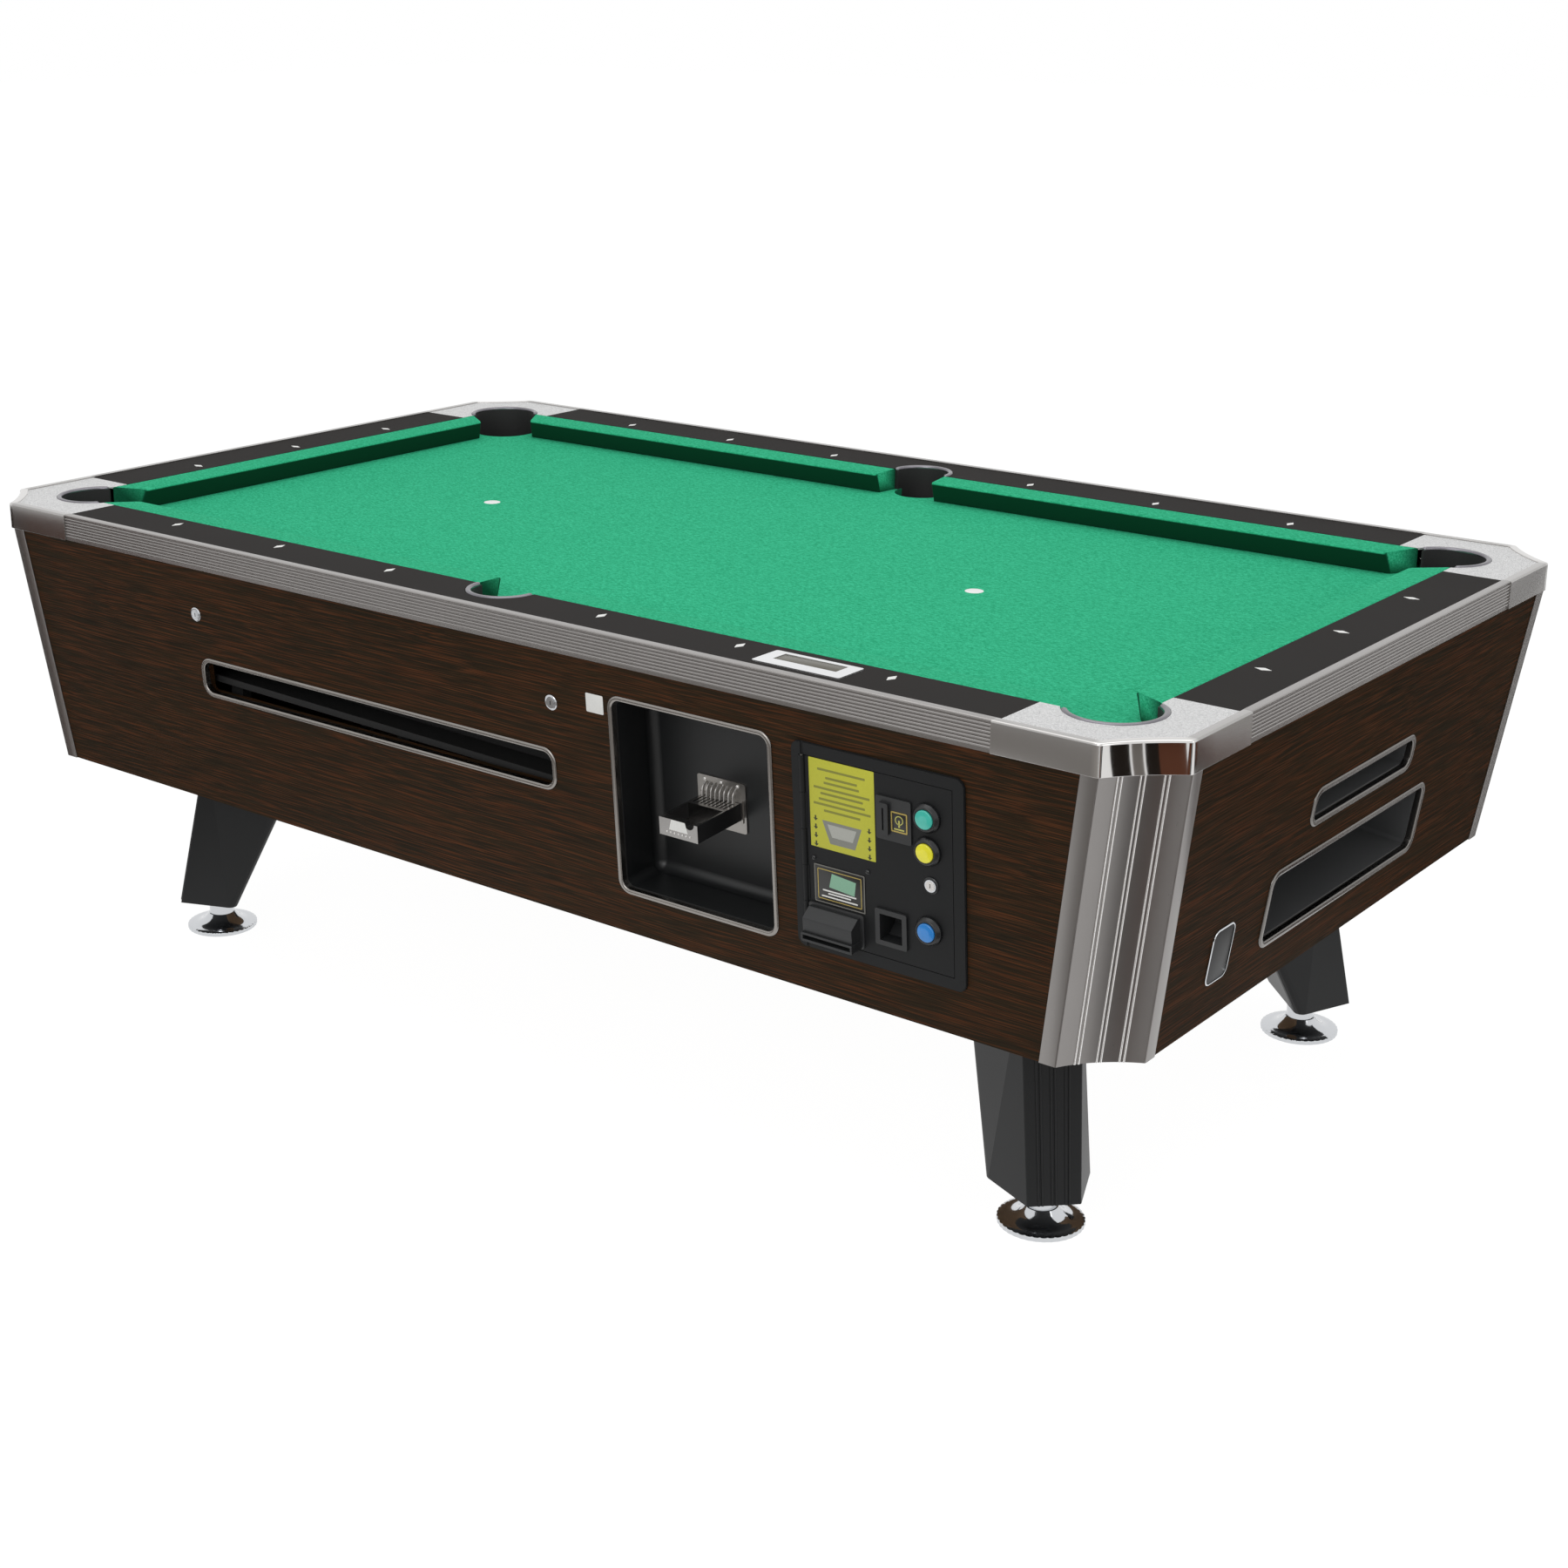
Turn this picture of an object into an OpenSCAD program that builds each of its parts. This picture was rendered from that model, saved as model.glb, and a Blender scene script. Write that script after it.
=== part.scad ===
// Coin-operated pool table of the seven-foot size.
// The origin is on the floor under the middle of the table. X runs along the table towards
// the foot end, where the balls come out. The front, with the coin slide, faces -Y.

/* [Overall] */
// Length over the corner castings
table_l = 2362; // [2250:1:2500]
// Width over the corner castings
table_w = 1346; // [1300:1:1420]
// Height of the top of the castings above the floor
table_h = 828; // [800:1:850]

/* [Cabinet] */
// Height of the cabinet walls below the trims
wall_h = 419; // [405:1:430]
// Thickness of the wall boards
wall_t = 19; // [16:0.5:22]
// Inset of the long walls from the castings, at their top
long_in = 7; // [6:0.5:10]
// How far the long walls lean in over their height
long_lean = 32; // [24:1:40]
// Inset of the end walls from the castings, at their top
end_in = 4; // [3:0.5:8]
// How far the end walls lean in over their height
end_lean = 60; // [50:1:66]
// Thickness of the cabinet floor
floor_t = 15; // [12:1:20]
// Length that the corner cuts off each wall
corner_cut = 84; // [76:1:92]

/* [Corner posts] */
// Wall thickness of the post extrusion
post_t = 2.5; // [2:0.1:3]
// Width of each post wing on the wall boards
post_wing = 24; // [18:1:30]
// Depth of the hollow in the post face
post_sag = 9; // [6:0.5:12]
// Radius of each bead on the post and leg faces
bead_r = 1.3; // [1:0.1:1.6]
// Distance between the two beads of a pair
bead_gap = 5.6; // [4.5:0.1:7]
// Pairs of beads across a face
bead_pairs = 3; // [2:1:4]

/* [Rail trims and corner castings] */
// Height of the trims and castings
trim_h = 45; // [42:1:48]
// Thickness of the trim web
trim_web = 3; // [2.5:0.1:3.5]
// How far the trim ribs stay inside the casting face
trim_in = 1.2; // [0.8:0.1:1.8]
// Ribs on a trim
trim_ribs = 7; // [5:1:7]
// Distance between the trim ribs
rib_pitch = 5; // [4.4:0.1:5.2]
// Radius of each trim rib
rib_r = 1.8; // [1.5:0.1:2]
// Width of the top lip of the trims and castings
lip_w = 14; // [11:0.5:17]
// Height of the lip above the rail top
lip_t = 2; // [1.5:0.1:2.5]
// Length of the casting arms from the table's corner
cast_arm = 240; // [230:1:250]
// Depth of the hollow in the casting front
cast_sag = 6; // [4:0.5:8]
// Wall thickness of the castings
cast_t = 5; // [4:0.5:6]
// Radius of the casting's two front bends
cast_bend = 8; // [5:0.5:10]
// Thickness of the white corner plates
plate_t = 3; // [2:0.5:4]
// Thickness of the casting deck under the plates
deck_t = 5; // [4:0.5:6]

/* [Rails and cushions] */
// Distance of the rail's inner face from the table's edge
rail_in = 111; // [107:1:115]
// Distance of the cushion nose from the table's edge
nose_in = 165; // [160:1:170]
// Height of the castings' top above the cloth
bed_drop = 41; // [39:1:43]
// Height of the cushion nose above the cloth
nose_h = 33; // [31:1:35]
// Distance of the sights from the table's edge
sight_in = 80; // [76:1:84]
// Length of a sight across the rail
sight_l = 25; // [22:1:28]
// Width of a sight along the rail
sight_w = 12; // [10:1:14]
// Thickness of a sight above the rail top
sight_t = 0.5; // [0.4:0.1:0.8]
// Middle of the table to the first sight of the long rails
sight_first = 221; // [210:1:235]
// Distance between the other sights of the long rails
sight_pitch = 257; // [250:1:262]
// Distance between the sights of the end rails
end_sight_pitch = 244; // [235:1:254]

/* [Pockets] */
// Distance of the corner pocket centres from the table's edges
corner_pocket_in = 144; // [141:1:147]
// Radius of the corner pocket openings
corner_pocket_r = 61; // [58:1:63]
// Distance of the side pocket centres from the table's edge
side_pocket_in = 107; // [105:1:110]
// Radius of the side pocket openings
side_pocket_r = 50; // [49:1:52]
// Width of the metal pocket rims
rim_w = 9; // [8:0.5:10]
// Wall thickness of the pocket liners
liner_t = 3; // [2:0.5:4]
// Distance of the cushion noses' ends from the corner
corner_nose_end = 238; // [234:1:242]
// Distance of the cushions' back ends from the corner
corner_back_end = 205; // [203:1:208]
// Half of the side pocket mouth at the cushion noses
side_nose_end = 62; // [59:1:66]
// Half of the side pocket mouth at the cushions' backs
side_back_end = 56; // [54:1:58]
// Depth of the liners below the slate
liner_drop = 50; // [44:1:56]

/* [Slate and its frame] */
// Thickness of the slate
slate_t = 22; // [19:1:25]
// Thickness of the cloth
cloth_t = 1; // [0.8:0.1:1.2]
// Height of the frame beams under the slate
beam_h = 40; // [34:1:44]
// Width of the cross beams
beam_w = 38; // [32:1:45]
// Width of the ledgers along the long walls
ledger_w = 22; // [20:1:24]
// Middle of the table to the first cross beam
beam_first = 236; // [230:1:242]
// Distance to the second cross beam
beam_pitch = 376; // [374:1:380]

/* [Front openings] */
// Width of the aluminium trim rings
ring_w = 8; // [7:0.5:10]
// Height of the trim rings on the boards
ring_h = 3; // [2:0.5:4]
// Length of the ball slot ring
slot_l = 801; // [780:1:815]
// Height of the ball slot ring
slot_h = 69; // [66:1:74]
// Middle of the ball slot along the table
slot_x = -219.5; // [-230:0.5:-210]
// Cabinet's lower edge to the slot's middle
slot_up = 230; // [226:1:234]
// Outer corner radius of the ball slot ring
slot_r = 15; // [12:1:20]
// Width of the coin bay ring
bay_w = 296; // [290:1:300]
// Height of the coin bay ring
bay_h = 311; // [306:1:314]
// Middle of the coin bay along the table
bay_x = 439; // [436:1:442]
// Cabinet's lower edge to the middle of the coin bay
bay_up = 218.5; // [216:0.5:221]
// Outer corner radius of the coin bay ring
bay_r = 22; // [18:1:26]
// Depth of the coin bay
bay_depth = 84; // [80:1:88]
// Wall thickness of the moulded liners
tray_t = 3; // [2.5:0.5:4]

/* [Coin slide] */
// Width of the coin slide plate
chute_w = 88; // [85:1:92]
// Height of the coin slide plate
chute_h = 78; // [75:1:82]
// Middle of the coin slide plate along the table
chute_x = 427; // [424:1:430]
// Cabinet's lower edge to the middle of the slide plate
chute_up = 204; // [202:1:206]
// Thickness of the coin slide plate
chute_t = 2.5; // [2:0.5:3]
// Width of the moving coin tray
coin_w = 70; // [68:1:72]
// Height of the moving coin tray
coin_h = 27; // [26:1:28]
// Length of the coin tray in front of its plate
coin_out = 100; // [96:1:102]
// Travel of the coin tray
coin_stroke = 85; // [80:1:88]
// Coin slots in the tray
coin_slots = 9; // [7:1:9]
// Width of a coin slot
coin_slot_w = 2.6; // [2.4:0.1:3]
// Length of a coin slot
coin_slot_l = 28; // [26:1:30]
// Clearance round the coin tray
coin_gap = 0.5; // [0.4:0.1:0.8]
// Lift of the ball gate at full travel
gate_lift = 66; // [63:1:68]

/* [Control panel] */
// Width of the control panel frame
panel_w = 278; // [276:1:284]
// Height of the control panel frame
panel_h = 306; // [302:1:310]
// Middle of the control panel along the table
panel_x = 761; // [758:1:764]
// Cabinet's lower edge to the middle of the control panel
panel_up = 221; // [219:1:223]
// Width of the frame round the door
panel_border = 18; // [16:1:20]
// Outer corner radius of the panel frame
panel_r = 14; // [10:1:18]
// Thickness of the door plate
door_t = 3; // [2.5:0.5:4]
// Gap between the door and its frame
door_gap = 1; // [0.8:0.1:1.5]
// Outer radius of the hinge barrels
hinge_r = 4; // [3.6:0.1:4.4]
// Radius of the hinge pin
hinge_pin_r = 2.5; // [2.2:0.1:2.8]
// Outer radius of the button bezels
bezel_r = 21; // [19:0.5:22]
// Height of the button bezels
bezel_h = 9; // [8:0.5:9.5]
// Radius of the button caps
button_r = 13.5; // [12:0.5:14.5]
// Travel of the buttons
button_stroke = 3; // [2.5:0.5:4]
// Radius of the lock plugs
plug_r = 7; // [6.5:0.1:7.5]
// Length of the lock cams
cam_l = 30; // [28:0.5:30]

/* [Foot end openings] */
// Width of the cue ball opening ring
cue_w = 344; // [336:1:352]
// Height of the cue ball opening ring
cue_h = 62; // [58:1:66]
// Cabinet's lower edge to the middle of the upper opening
cue_up = 252; // [249:1:254]
// Width of the ball return ring
return_w = 520; // [510:1:530]
// Height of the ball return ring
return_h = 121; // [117:1:125]
// Cabinet's lower edge to the middle of the ball return
return_up = 122; // [120:1:125]
// Outer corner radius of the two rings
end_ring_r = 18; // [14:1:22]
// Depth of the cue ball tray
cue_depth = 90; // [80:1:100]
// Depth of the ball return tray
return_depth = 150; // [140:1:160]

/* [Legs and feet] */
// Feet from the middle of the table, along it
foot_x = 897; // [880:1:915]
// Feet from the middle of the table, across it
foot_y = 419; // [405:1:430]
// Radius of the foot discs
foot_r = 64; // [60:1:68]
// Height of the foot rims
foot_rim = 7; // [5:0.5:9]
// Height of the foot cones
foot_cone = 27; // [24:1:30]
// Radius of the foot stems
stem_r = 22.5; // [20:0.5:25]
// Height of the leg bottoms above the floor
leg_z = 62; // [55:1:70]
// Radius of the levelling screws
screw_r = 10; // [8:0.5:12]
// Length of the levelling screws in the legs
screw_l = 48; // [40:1:60]

/* [Hidden] */
$fn = 64;

eps = 0.01;
seat = 0.3;
hl = table_l / 2;
hw = table_w / 2;
root2 = sqrt(2);
z_trim = table_h - trim_h;
z_cab = z_trim - wall_h;
z_floor = z_cab + floor_t;
z_rail = table_h - lip_t;
z_plate = z_rail - plate_t;
z_deck = z_plate - deck_t;
z_bed = table_h - bed_drop;
z_slate = z_bed - cloth_t;
z_under = z_slate - slate_t;
z_frame = z_under - beam_h;
slot_z = z_cab + slot_up;
bay_z = z_cab + bay_up;
chute_z = z_cab + chute_up;
panel_z = z_cab + panel_up;
cue_z = z_cab + cue_up;
return_z = z_cab + return_up;
a_long = atan(long_lean / wall_h);
a_end = atan(end_lean / wall_h);
long_y = hw - long_in - long_lean;
end_x = hl - end_in - end_lean;
t_long = wall_t / cos(a_long);
t_end = wall_t / cos(a_end);
up_long = wall_h / cos(a_long);
up_end = wall_h / cos(a_end);
post_az = atan2(long_lean, end_lean);
post_tilt = atan(norm([end_lean, long_lean]) / wall_h);
block_cut = corner_cut + root2 * (post_sag + seat);
block_deep = block_cut + 30;
board_gap = 0.5;
plate_end = cast_arm - 4;
rail_end = plate_end + seat;
rail_back = trim_in + rib_r + trim_web;
slot_in_t = 1.5;
slot_gap = 0.2;
lock_gap = 0.05;

// Position of the walls' outer faces at a height
function wall_y(z) = long_y + long_lean * (z - z_cab) / wall_h;
function wall_x(z) = end_x + end_lean * (z - z_cab) / wall_h;
// Distance up the leaning boards of a height
function up_front(z) = (z - z_cab) / cos(a_long);
function up_foot(z) = (z - z_cab) / cos(a_end);
// Range of the given half width about a middle
function around(c, h) = [c - h, c + h];
function unit(v) = v / norm(v);
function turn(a) = a > 180 ? a - 360 : (a < -180 ? a + 360 : a);

// Points of one rounded corner, and of a whole outline with a radius for each corner
function fillet(a, p, b, r, n) = r <= 0 ? [p] : let(
  u = unit(a - p), w = unit(b - p), half = acos(u * w) / 2,
  c = p + unit(u + w) * (r / sin(half)),
  s = p + u * (r / tan(half)) - c, e = p + w * (r / tan(half)) - c,
  a0 = atan2(s.y, s.x), da = turn(atan2(e.y, e.x) - a0))
  [for (i = [0:n]) c + r * [cos(a0 + da * i / n), sin(a0 + da * i / n)]];
function rounded(pts, rs, n = 5) = let(l = len(pts))
  [for (i = [0:l - 1]) for (q = fillet(pts[(i + l - 1) % l], pts[i], pts[(i + 1) % l], rs[i], n)) q];

// Hollow front of a cut corner, measured from the corner of the two wall lines. The inset
// moves the line inwards all round.
function hollow(cut, sag, inset, n) = let(
  h = cut / root2, big = h * h / (2 * sag) + sag / 2, nc = big - h - sag,
  ri = big + inset, k = nc + root2 * inset, c1 = (k - sqrt(2 * ri * ri - k * k)) / 2)
  [for (i = [0:n]) let(c = c1 - 2 * c1 * i / n, m = nc - sqrt(ri * ri - c * c))
    [(c + m) / root2, (m - c) / root2]];

// Places its children in all four quarters of the table, or on two sides
module quad() {
  for (sx = [0, 1], sy = [0, 1]) mirror([sx, 0, 0]) mirror([0, sy, 0]) children();
}
module both_x() {
  for (sx = [0, 1]) mirror([sx, 0, 0]) children();
}
module both_y() {
  for (sy = [0, 1]) mirror([0, sy, 0]) children();
}
module brick(x, y, z) {
  translate([x[0], y[0], z[0]]) cube([x[1] - x[0], y[1] - y[0], z[1] - z[0]]);
}
module rrect(w, h, r) {
  square([w - 2 * r, h], center = true);
  square([w, h - 2 * r], center = true);
  for (sx = [-1, 1], sy = [-1, 1]) translate([sx * (w / 2 - r), sy * (h / 2 - r)]) circle(r);
}
module plug_rrect(w, h, r, lo, hi) {
  translate([0, 0, lo]) linear_extrude(hi - lo) rrect(w, h, r);
}
module ring_rrect(w, h, r, t, lo, hi) {
  translate([0, 0, lo]) linear_extrude(hi - lo) difference() {
    rrect(w, h, r);
    rrect(w - 2 * t, h - 2 * t, max(r - t, 1));
  }
}
module tube(ro, ri, lo, hi) {
  difference() {
    translate([0, 0, lo]) cylinder(h = hi - lo, r = ro);
    translate([0, 0, lo - 1]) cylinder(h = hi - lo + 2, r = ri);
  }
}
module rod(p, q, r) {
  d = q - p;
  translate(p) rotate([0, atan2(norm([d.x, d.y]), d.z), atan2(d.y, d.x)]) cylinder(h = norm(d), r = r, $fn = 20);
}

// Frames of the two walls that carry openings: x along the wall, y up the board, z outwards
module on_front(x = 0, z = z_cab) {
  translate([0, -long_y, z_cab]) rotate([90 + a_long, 0, 0]) translate([x, up_front(z), 0]) children();
}
module on_foot(y = 0, z = z_cab) {
  translate([end_x, 0, z_cab]) rotate([90 + a_end, 0, 90]) translate([y, up_foot(z), 0]) children();
}
module wall_slab() {
  translate([-hl, -hw, z_cab]) cube([table_l, table_w, wall_h]);
}

// Flat board with both ends following the leaning corners
module board_outline(half, lean, up) {
  e0 = half - corner_cut - board_gap;
  k = lean / up;
  polygon([[-e0 + 4 * k, -4], [e0 - 4 * k, -4], [e0 + (up + 4) * k, up + 4], [-e0 - (up + 4) * k, up + 4]]);
}
module long_board() {
  translate([0, 0, -wall_t]) linear_extrude(wall_t) board_outline(end_x, end_lean, up_long);
}
module end_board() {
  translate([0, 0, -wall_t]) linear_extrude(wall_t) board_outline(long_y, long_lean, up_end);
}
// Hole in a board for a trim ring of the given outer size
hole_off = 2 * (slot_in_t + slot_gap);
module ring_hole(w, h, r, rw) {
  plug_rrect(w - 2 * rw + hole_off, h - 2 * rw + hole_off, max(r - rw, 4) + hole_off / 2, -wall_t - 20, 20);
}
// Flanged trim ring: a rounded flange on the board and a thin collar in the hole
module ring_trim(w, h, r, rw) {
  ri = max(r - rw, 4);
  difference() {
    union() {
      plug_rrect(w, h, r, 0, ring_h - 0.8);
      plug_rrect(w - 1.6, h - 1.6, r - 0.8, 0, ring_h);
      plug_rrect(w - 2 * rw + 2 * slot_in_t, h - 2 * rw + 2 * slot_in_t, ri + slot_in_t, -8, 1);
    }
    plug_rrect(w - 2 * rw, h - 2 * rw, ri, -20, 20);
  }
}
// Moulded box behind a trim ring, with a flange behind the board
module box_liner(w, h, r, rw, depth, flange) {
  wo = w - 2 * rw + hole_off - 0.4;
  ho = h - 2 * rw + hole_off - 0.4;
  ro = max(r - rw, 4) + hole_off / 2 - 0.2;
  difference() {
    union() {
      plug_rrect(wo, ho, ro, -depth - tray_t, -8.3);
      plug_rrect(wo + 2 * flange, ho + 2 * flange, ro + flange, -wall_t - 2.5, -wall_t);
    }
    plug_rrect(wo - 2 * tray_t, ho - 2 * tray_t, max(ro - tray_t, 3), -depth, 10);
  }
}

module front_panel() {
  color("#3a2a22") intersection() {
    wall_slab();
    difference() {
      on_front() long_board();
      on_front(slot_x, slot_z) ring_hole(slot_l, slot_h, slot_r, ring_w);
      on_front(bay_x, bay_z) ring_hole(bay_w, bay_h, bay_r, ring_w);
      on_front(panel_x, panel_z) plug_rrect(frame_body_w + 0.4, frame_body_h + 0.4, 2.2, -40, 20);
      for (x = lock_xs) on_front(x, lock_z) translate([0, 0, -40]) cylinder(h = 80, r = barrel_r + lock_gap);
    }
  }
}
module back_panel() {
  color("#3a2a22") intersection() {
    wall_slab();
    mirror([0, 1, 0]) on_front() long_board();
  }
}
module head_panel() {
  color("#3a2a22") intersection() {
    wall_slab();
    mirror([1, 0, 0]) on_foot() end_board();
  }
}
module foot_panel() {
  color("#3a2a22") intersection() {
    wall_slab();
    difference() {
      on_foot() end_board();
      on_foot(0, cue_z) ring_hole(cue_w, cue_h, end_ring_r, foot_ring_w);
      on_foot(0, return_z) ring_hole(return_w, return_h, end_ring_r, foot_ring_w);
    }
  }
}
foot_ring_w = ring_w + 2;

// Plan outline inside the walls at a height, with the corners cut for the posts
module inside_plan(z, gap) {
  x = wall_x(z) - t_end - gap;
  y = wall_y(z) - t_long - gap;
  sum = wall_x(z) + wall_y(z) - block_cut - gap * root2;
  polygon([[x, sum - x], [sum - y, y], [y - sum, y], [-x, sum - x],
    [-x, x - sum], [y - sum, -y], [sum - y, -y], [x, x - sum]]);
}
module cabinet_floor() {
  color("#5b4a3a") difference() {
    translate([0, 0, z_cab]) linear_extrude(floor_t) inside_plan(z_cab, 0);
    quad() for (p = bolt_points) translate([foot_x + p.x, foot_y + p.y, z_cab - 1])
      cylinder(h = floor_t + 2, r = bolt_r + lock_gap);
  }
}

// The corner section is the same at every height, so it is laid along the leaning corner line
function lay(p) = [cos(post_tilt) * (p.x * cos(post_az) + p.y * sin(post_az)),
  p.y * cos(post_az) - p.x * sin(post_az)];
module along_corner(z0, z1) {
  intersection() {
    translate([end_x, long_y, z_cab]) rotate([0, post_tilt, post_az])
      translate([0, 0, -60]) linear_extrude(wall_h + 140) children();
    brick([hl - 400, hl + 50], [hw - 400, hw + 50], [z0, z1]);
  }
}
module corner_blocks() {
  color("#8a6f52") quad() along_corner(z_floor, z_frame - seat)
    polygon([for (p = [[t_long - block_deep, -t_long], [t_long - block_cut, -t_long],
      [-t_end, t_end - block_cut], [-t_end, t_end - block_deep]]) lay(p)]);
}
post_out = hollow(corner_cut, post_sag, -post_t, 16);
post_in = hollow(corner_cut, post_sag, 0, 16);
module corner_posts() {
  w = corner_cut + post_wing;
  outer = rounded([for (p = concat([[-w, post_t]], post_out, [[post_t, -w]])) lay(p)],
    concat([0.8, 2.2], [for (i = [1:15]) 0], [2.2, 0.8]), 3);
  inner = [for (i = [16:-1:0]) lay(post_in[i])];
  half = norm(post_out[0] - post_out[16]) / 2;
  color("#b9bcc0") quad() along_corner(z_cab, z_trim) {
    polygon(concat([lay([-w, 0])], outer, [lay([0, -w])], inner));
    for (i = [1:bead_pairs], s = [-1, 1]) {
      f = i / (bead_pairs + 1) + s * bead_gap / 4 / half;
      k = floor(f * 16);
      p = post_out[k] * (1 - f * 16 + k) + post_out[k + 1] * (f * 16 - k);
      translate(lay(p)) circle(bead_r, $fn = 16);
    }
  }
}

// Corner castings, in the frame of the table's corner
module at_corner() {
  quad() translate([hl, hw, 0]) children();
}
function cast_line(inset, over) = let(f = hollow(corner_cut, cast_sag, inset, 16), r = max(cast_bend - inset, 0),
  far = -cast_arm - over)
  rounded(concat([[far, -inset]], f, [[-inset, far], [far, far]]),
    concat([0, r], [for (i = [1:15]) 0], [r, 0, 0]));
module l_area(over) {
  translate([-plate_end, -rail_in]) square([plate_end + over, rail_in + over]);
  translate([-rail_in, -plate_end]) square([rail_in + over, plate_end + over]);
}
module deck_area(inset, hole) {
  difference() {
    intersection() {
      polygon(cast_line(inset, 20));
      l_area(5);
    }
    translate([-corner_pocket_in, -corner_pocket_in]) circle(hole);
  }
}
module corner_castings() {
  color("#c4c7ca") at_corner() {
    translate([0, 0, z_trim]) linear_extrude(trim_h) difference() {
      polygon(cast_line(0, 0));
      polygon(cast_line(cast_t, 1));
    }
    translate([0, 0, z_rail]) linear_extrude(lip_t) difference() {
      polygon(cast_line(0, 0));
      polygon(cast_line(lip_w, 1));
    }
    translate([0, 0, z_deck]) linear_extrude(deck_t) deck_area(cast_t - 1, corner_pocket_r + liner_t + seat);
  }
}
module corner_plates() {
  color("#f1f1ee") at_corner() translate([0, 0, z_plate]) linear_extrude(plate_t)
    deck_area(cast_t + 0.2, corner_pocket_r + rim_w + seat);
}

// Section of the ribbed trim, measured outwards from the table's middle
module trim_section(half) {
  face = half - trim_in - rib_r;
  polygon([[face - trim_web, z_trim], [face, z_trim], [face, table_h], [half - lip_w, table_h],
    [half - lip_w, z_rail], [face - trim_web, z_rail]]);
  for (i = [0:trim_ribs - 1]) translate([face, (z_trim + table_h) / 2 + (i - (trim_ribs - 1) / 2) * rib_pitch])
    circle(rib_r, $fn = 24);
  translate([face, table_h - rib_r]) circle(rib_r, $fn = 24);
}
module side_trims() {
  n = 2 * (hl - cast_arm) - 0.4;
  color("#b4b7bb") both_y() translate([-n / 2, 0, 0]) rotate([90, 0, 90]) linear_extrude(n) trim_section(hw);
}
module end_trims() {
  n = 2 * (hw - cast_arm) - 0.4;
  color("#b4b7bb") both_x() translate([0, n / 2, 0]) rotate([90, 0, 0]) linear_extrude(n) trim_section(hl);
}

// Rails lie on the slate's edge, with cut-outs for the side pockets and the display
disp_x = 610;
disp_in = 60;
disp_l = 148;
disp_w = 60;
disp_body_l = 116;
disp_body_w = 38;
module side_rails() {
  x = hl - rail_end;
  color("#3b3a39") difference() {
    both_y() difference() {
      brick([-x, x], [hw - rail_in, hw - rail_back], [z_bed, z_rail]);
      translate([0, hw - side_pocket_in, 0]) {
        translate([0, 0, z_bed - 1]) cylinder(h = 60, r = side_pocket_r + liner_t + seat);
        translate([0, 0, z_plate]) cylinder(h = 60, r = side_pocket_r + rim_w + seat);
      }
    }
    brick(around(disp_x, disp_body_l / 2), around(disp_in - hw, disp_body_w / 2),
      [z_rail - 24, z_rail + 1]);
  }
}
module end_rails() {
  y = hw - rail_end;
  color("#3b3a39") both_x() brick([hl - rail_in, hl - rail_back], [-y, y], [z_bed, z_rail]);
}
// Cushion rubber: level back, undercut face and a small round nose
module cushion_section(half) {
  polygon(rounded([[half - rail_in, z_bed], [half - rail_in, z_rail],
    [half - nose_in - 4.9, z_bed + nose_h + 3.4], [half - rail_in - 19, z_bed]], [0, 0.8, 3, 0], 7));
}
module cushion_plan(x0, x1, back, y) {
  polygon(rounded([[back[0], y], [x0, y - nose_in + rail_in - 0.02], [x0 + 14, y - nose_in + rail_in - 8],
    [x1 - 14, y - nose_in + rail_in - 8], [x1, y - nose_in + rail_in - 0.02], [back[1], y]], [0, 9, 0, 0, 9, 0], 6));
}
module side_cushions() {
  x0 = side_nose_end - 1;
  x1 = hl - corner_nose_end + 1;
  color("#0d5a36") quad() intersection() {
    rotate([90, 0, 90]) linear_extrude(hl) cushion_section(hw);
    translate([0, 0, z_bed - 1]) linear_extrude(60)
      cushion_plan(x0, x1, [side_back_end, hl - corner_back_end], hw - rail_in);
  }
}
module end_cushions() {
  y1 = hw - corner_nose_end + 1;
  color("#0d5a36") both_x() intersection() {
    translate([0, hw, 0]) rotate([90, 0, 0]) linear_extrude(table_w) cushion_section(hl);
    translate([0, 0, z_bed - 1]) linear_extrude(60) mirror([1, -1, 0])
      cushion_plan(-y1, y1, [corner_back_end - hw, hw - corner_back_end], hl - rail_in);
  }
}
module sight() {
  linear_extrude(sight_t) polygon([[-sight_l / 2, 0], [0, -sight_w / 2], [sight_l / 2, 0], [0, sight_w / 2]]);
}
module rail_sights() {
  color("#f4f4f0") {
    quad() for (i = [0:2]) translate([sight_first + i * sight_pitch, hw - sight_in, z_rail]) rotate([0, 0, 90]) sight();
    both_x() for (i = [-1:1]) translate([hl - sight_in, i * end_sight_pitch, z_rail]) sight();
  }
}

// Slate and cloth share one plan: pocket holes, with the corners cut away behind the pockets
slate_x = hl - 31;
slate_y = hw - 33;
module slate_plan(inset) {
  difference() {
    square([2 * (slate_x - inset), 2 * (slate_y - inset)], center = true);
    quad() translate([hl - corner_pocket_in, hw - corner_pocket_in]) {
      circle(corner_pocket_r + liner_t + seat);
      rotate([0, 0, 45]) translate([30, -200]) square([200, 400]);
    }
    both_y() translate([0, hw - side_pocket_in]) circle(side_pocket_r + liner_t + seat);
  }
}
module slate() {
  color("#8b8f92") translate([0, 0, z_under]) linear_extrude(slate_t) slate_plan(0);
}
module playfield_cloth() {
  color("#3cb889") translate([0, 0, z_slate]) linear_extrude(cloth_t) slate_plan(1);
}
function beam_x(i) = beam_first + i * beam_pitch;
module bay_hole(x0, x1) {
  y1 = wall_y(z_frame) - t_long - seat - ledger_w;
  translate([x0, beam_w / 2]) square([x1 - x0, y1 - beam_w / 2]);
}
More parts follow.
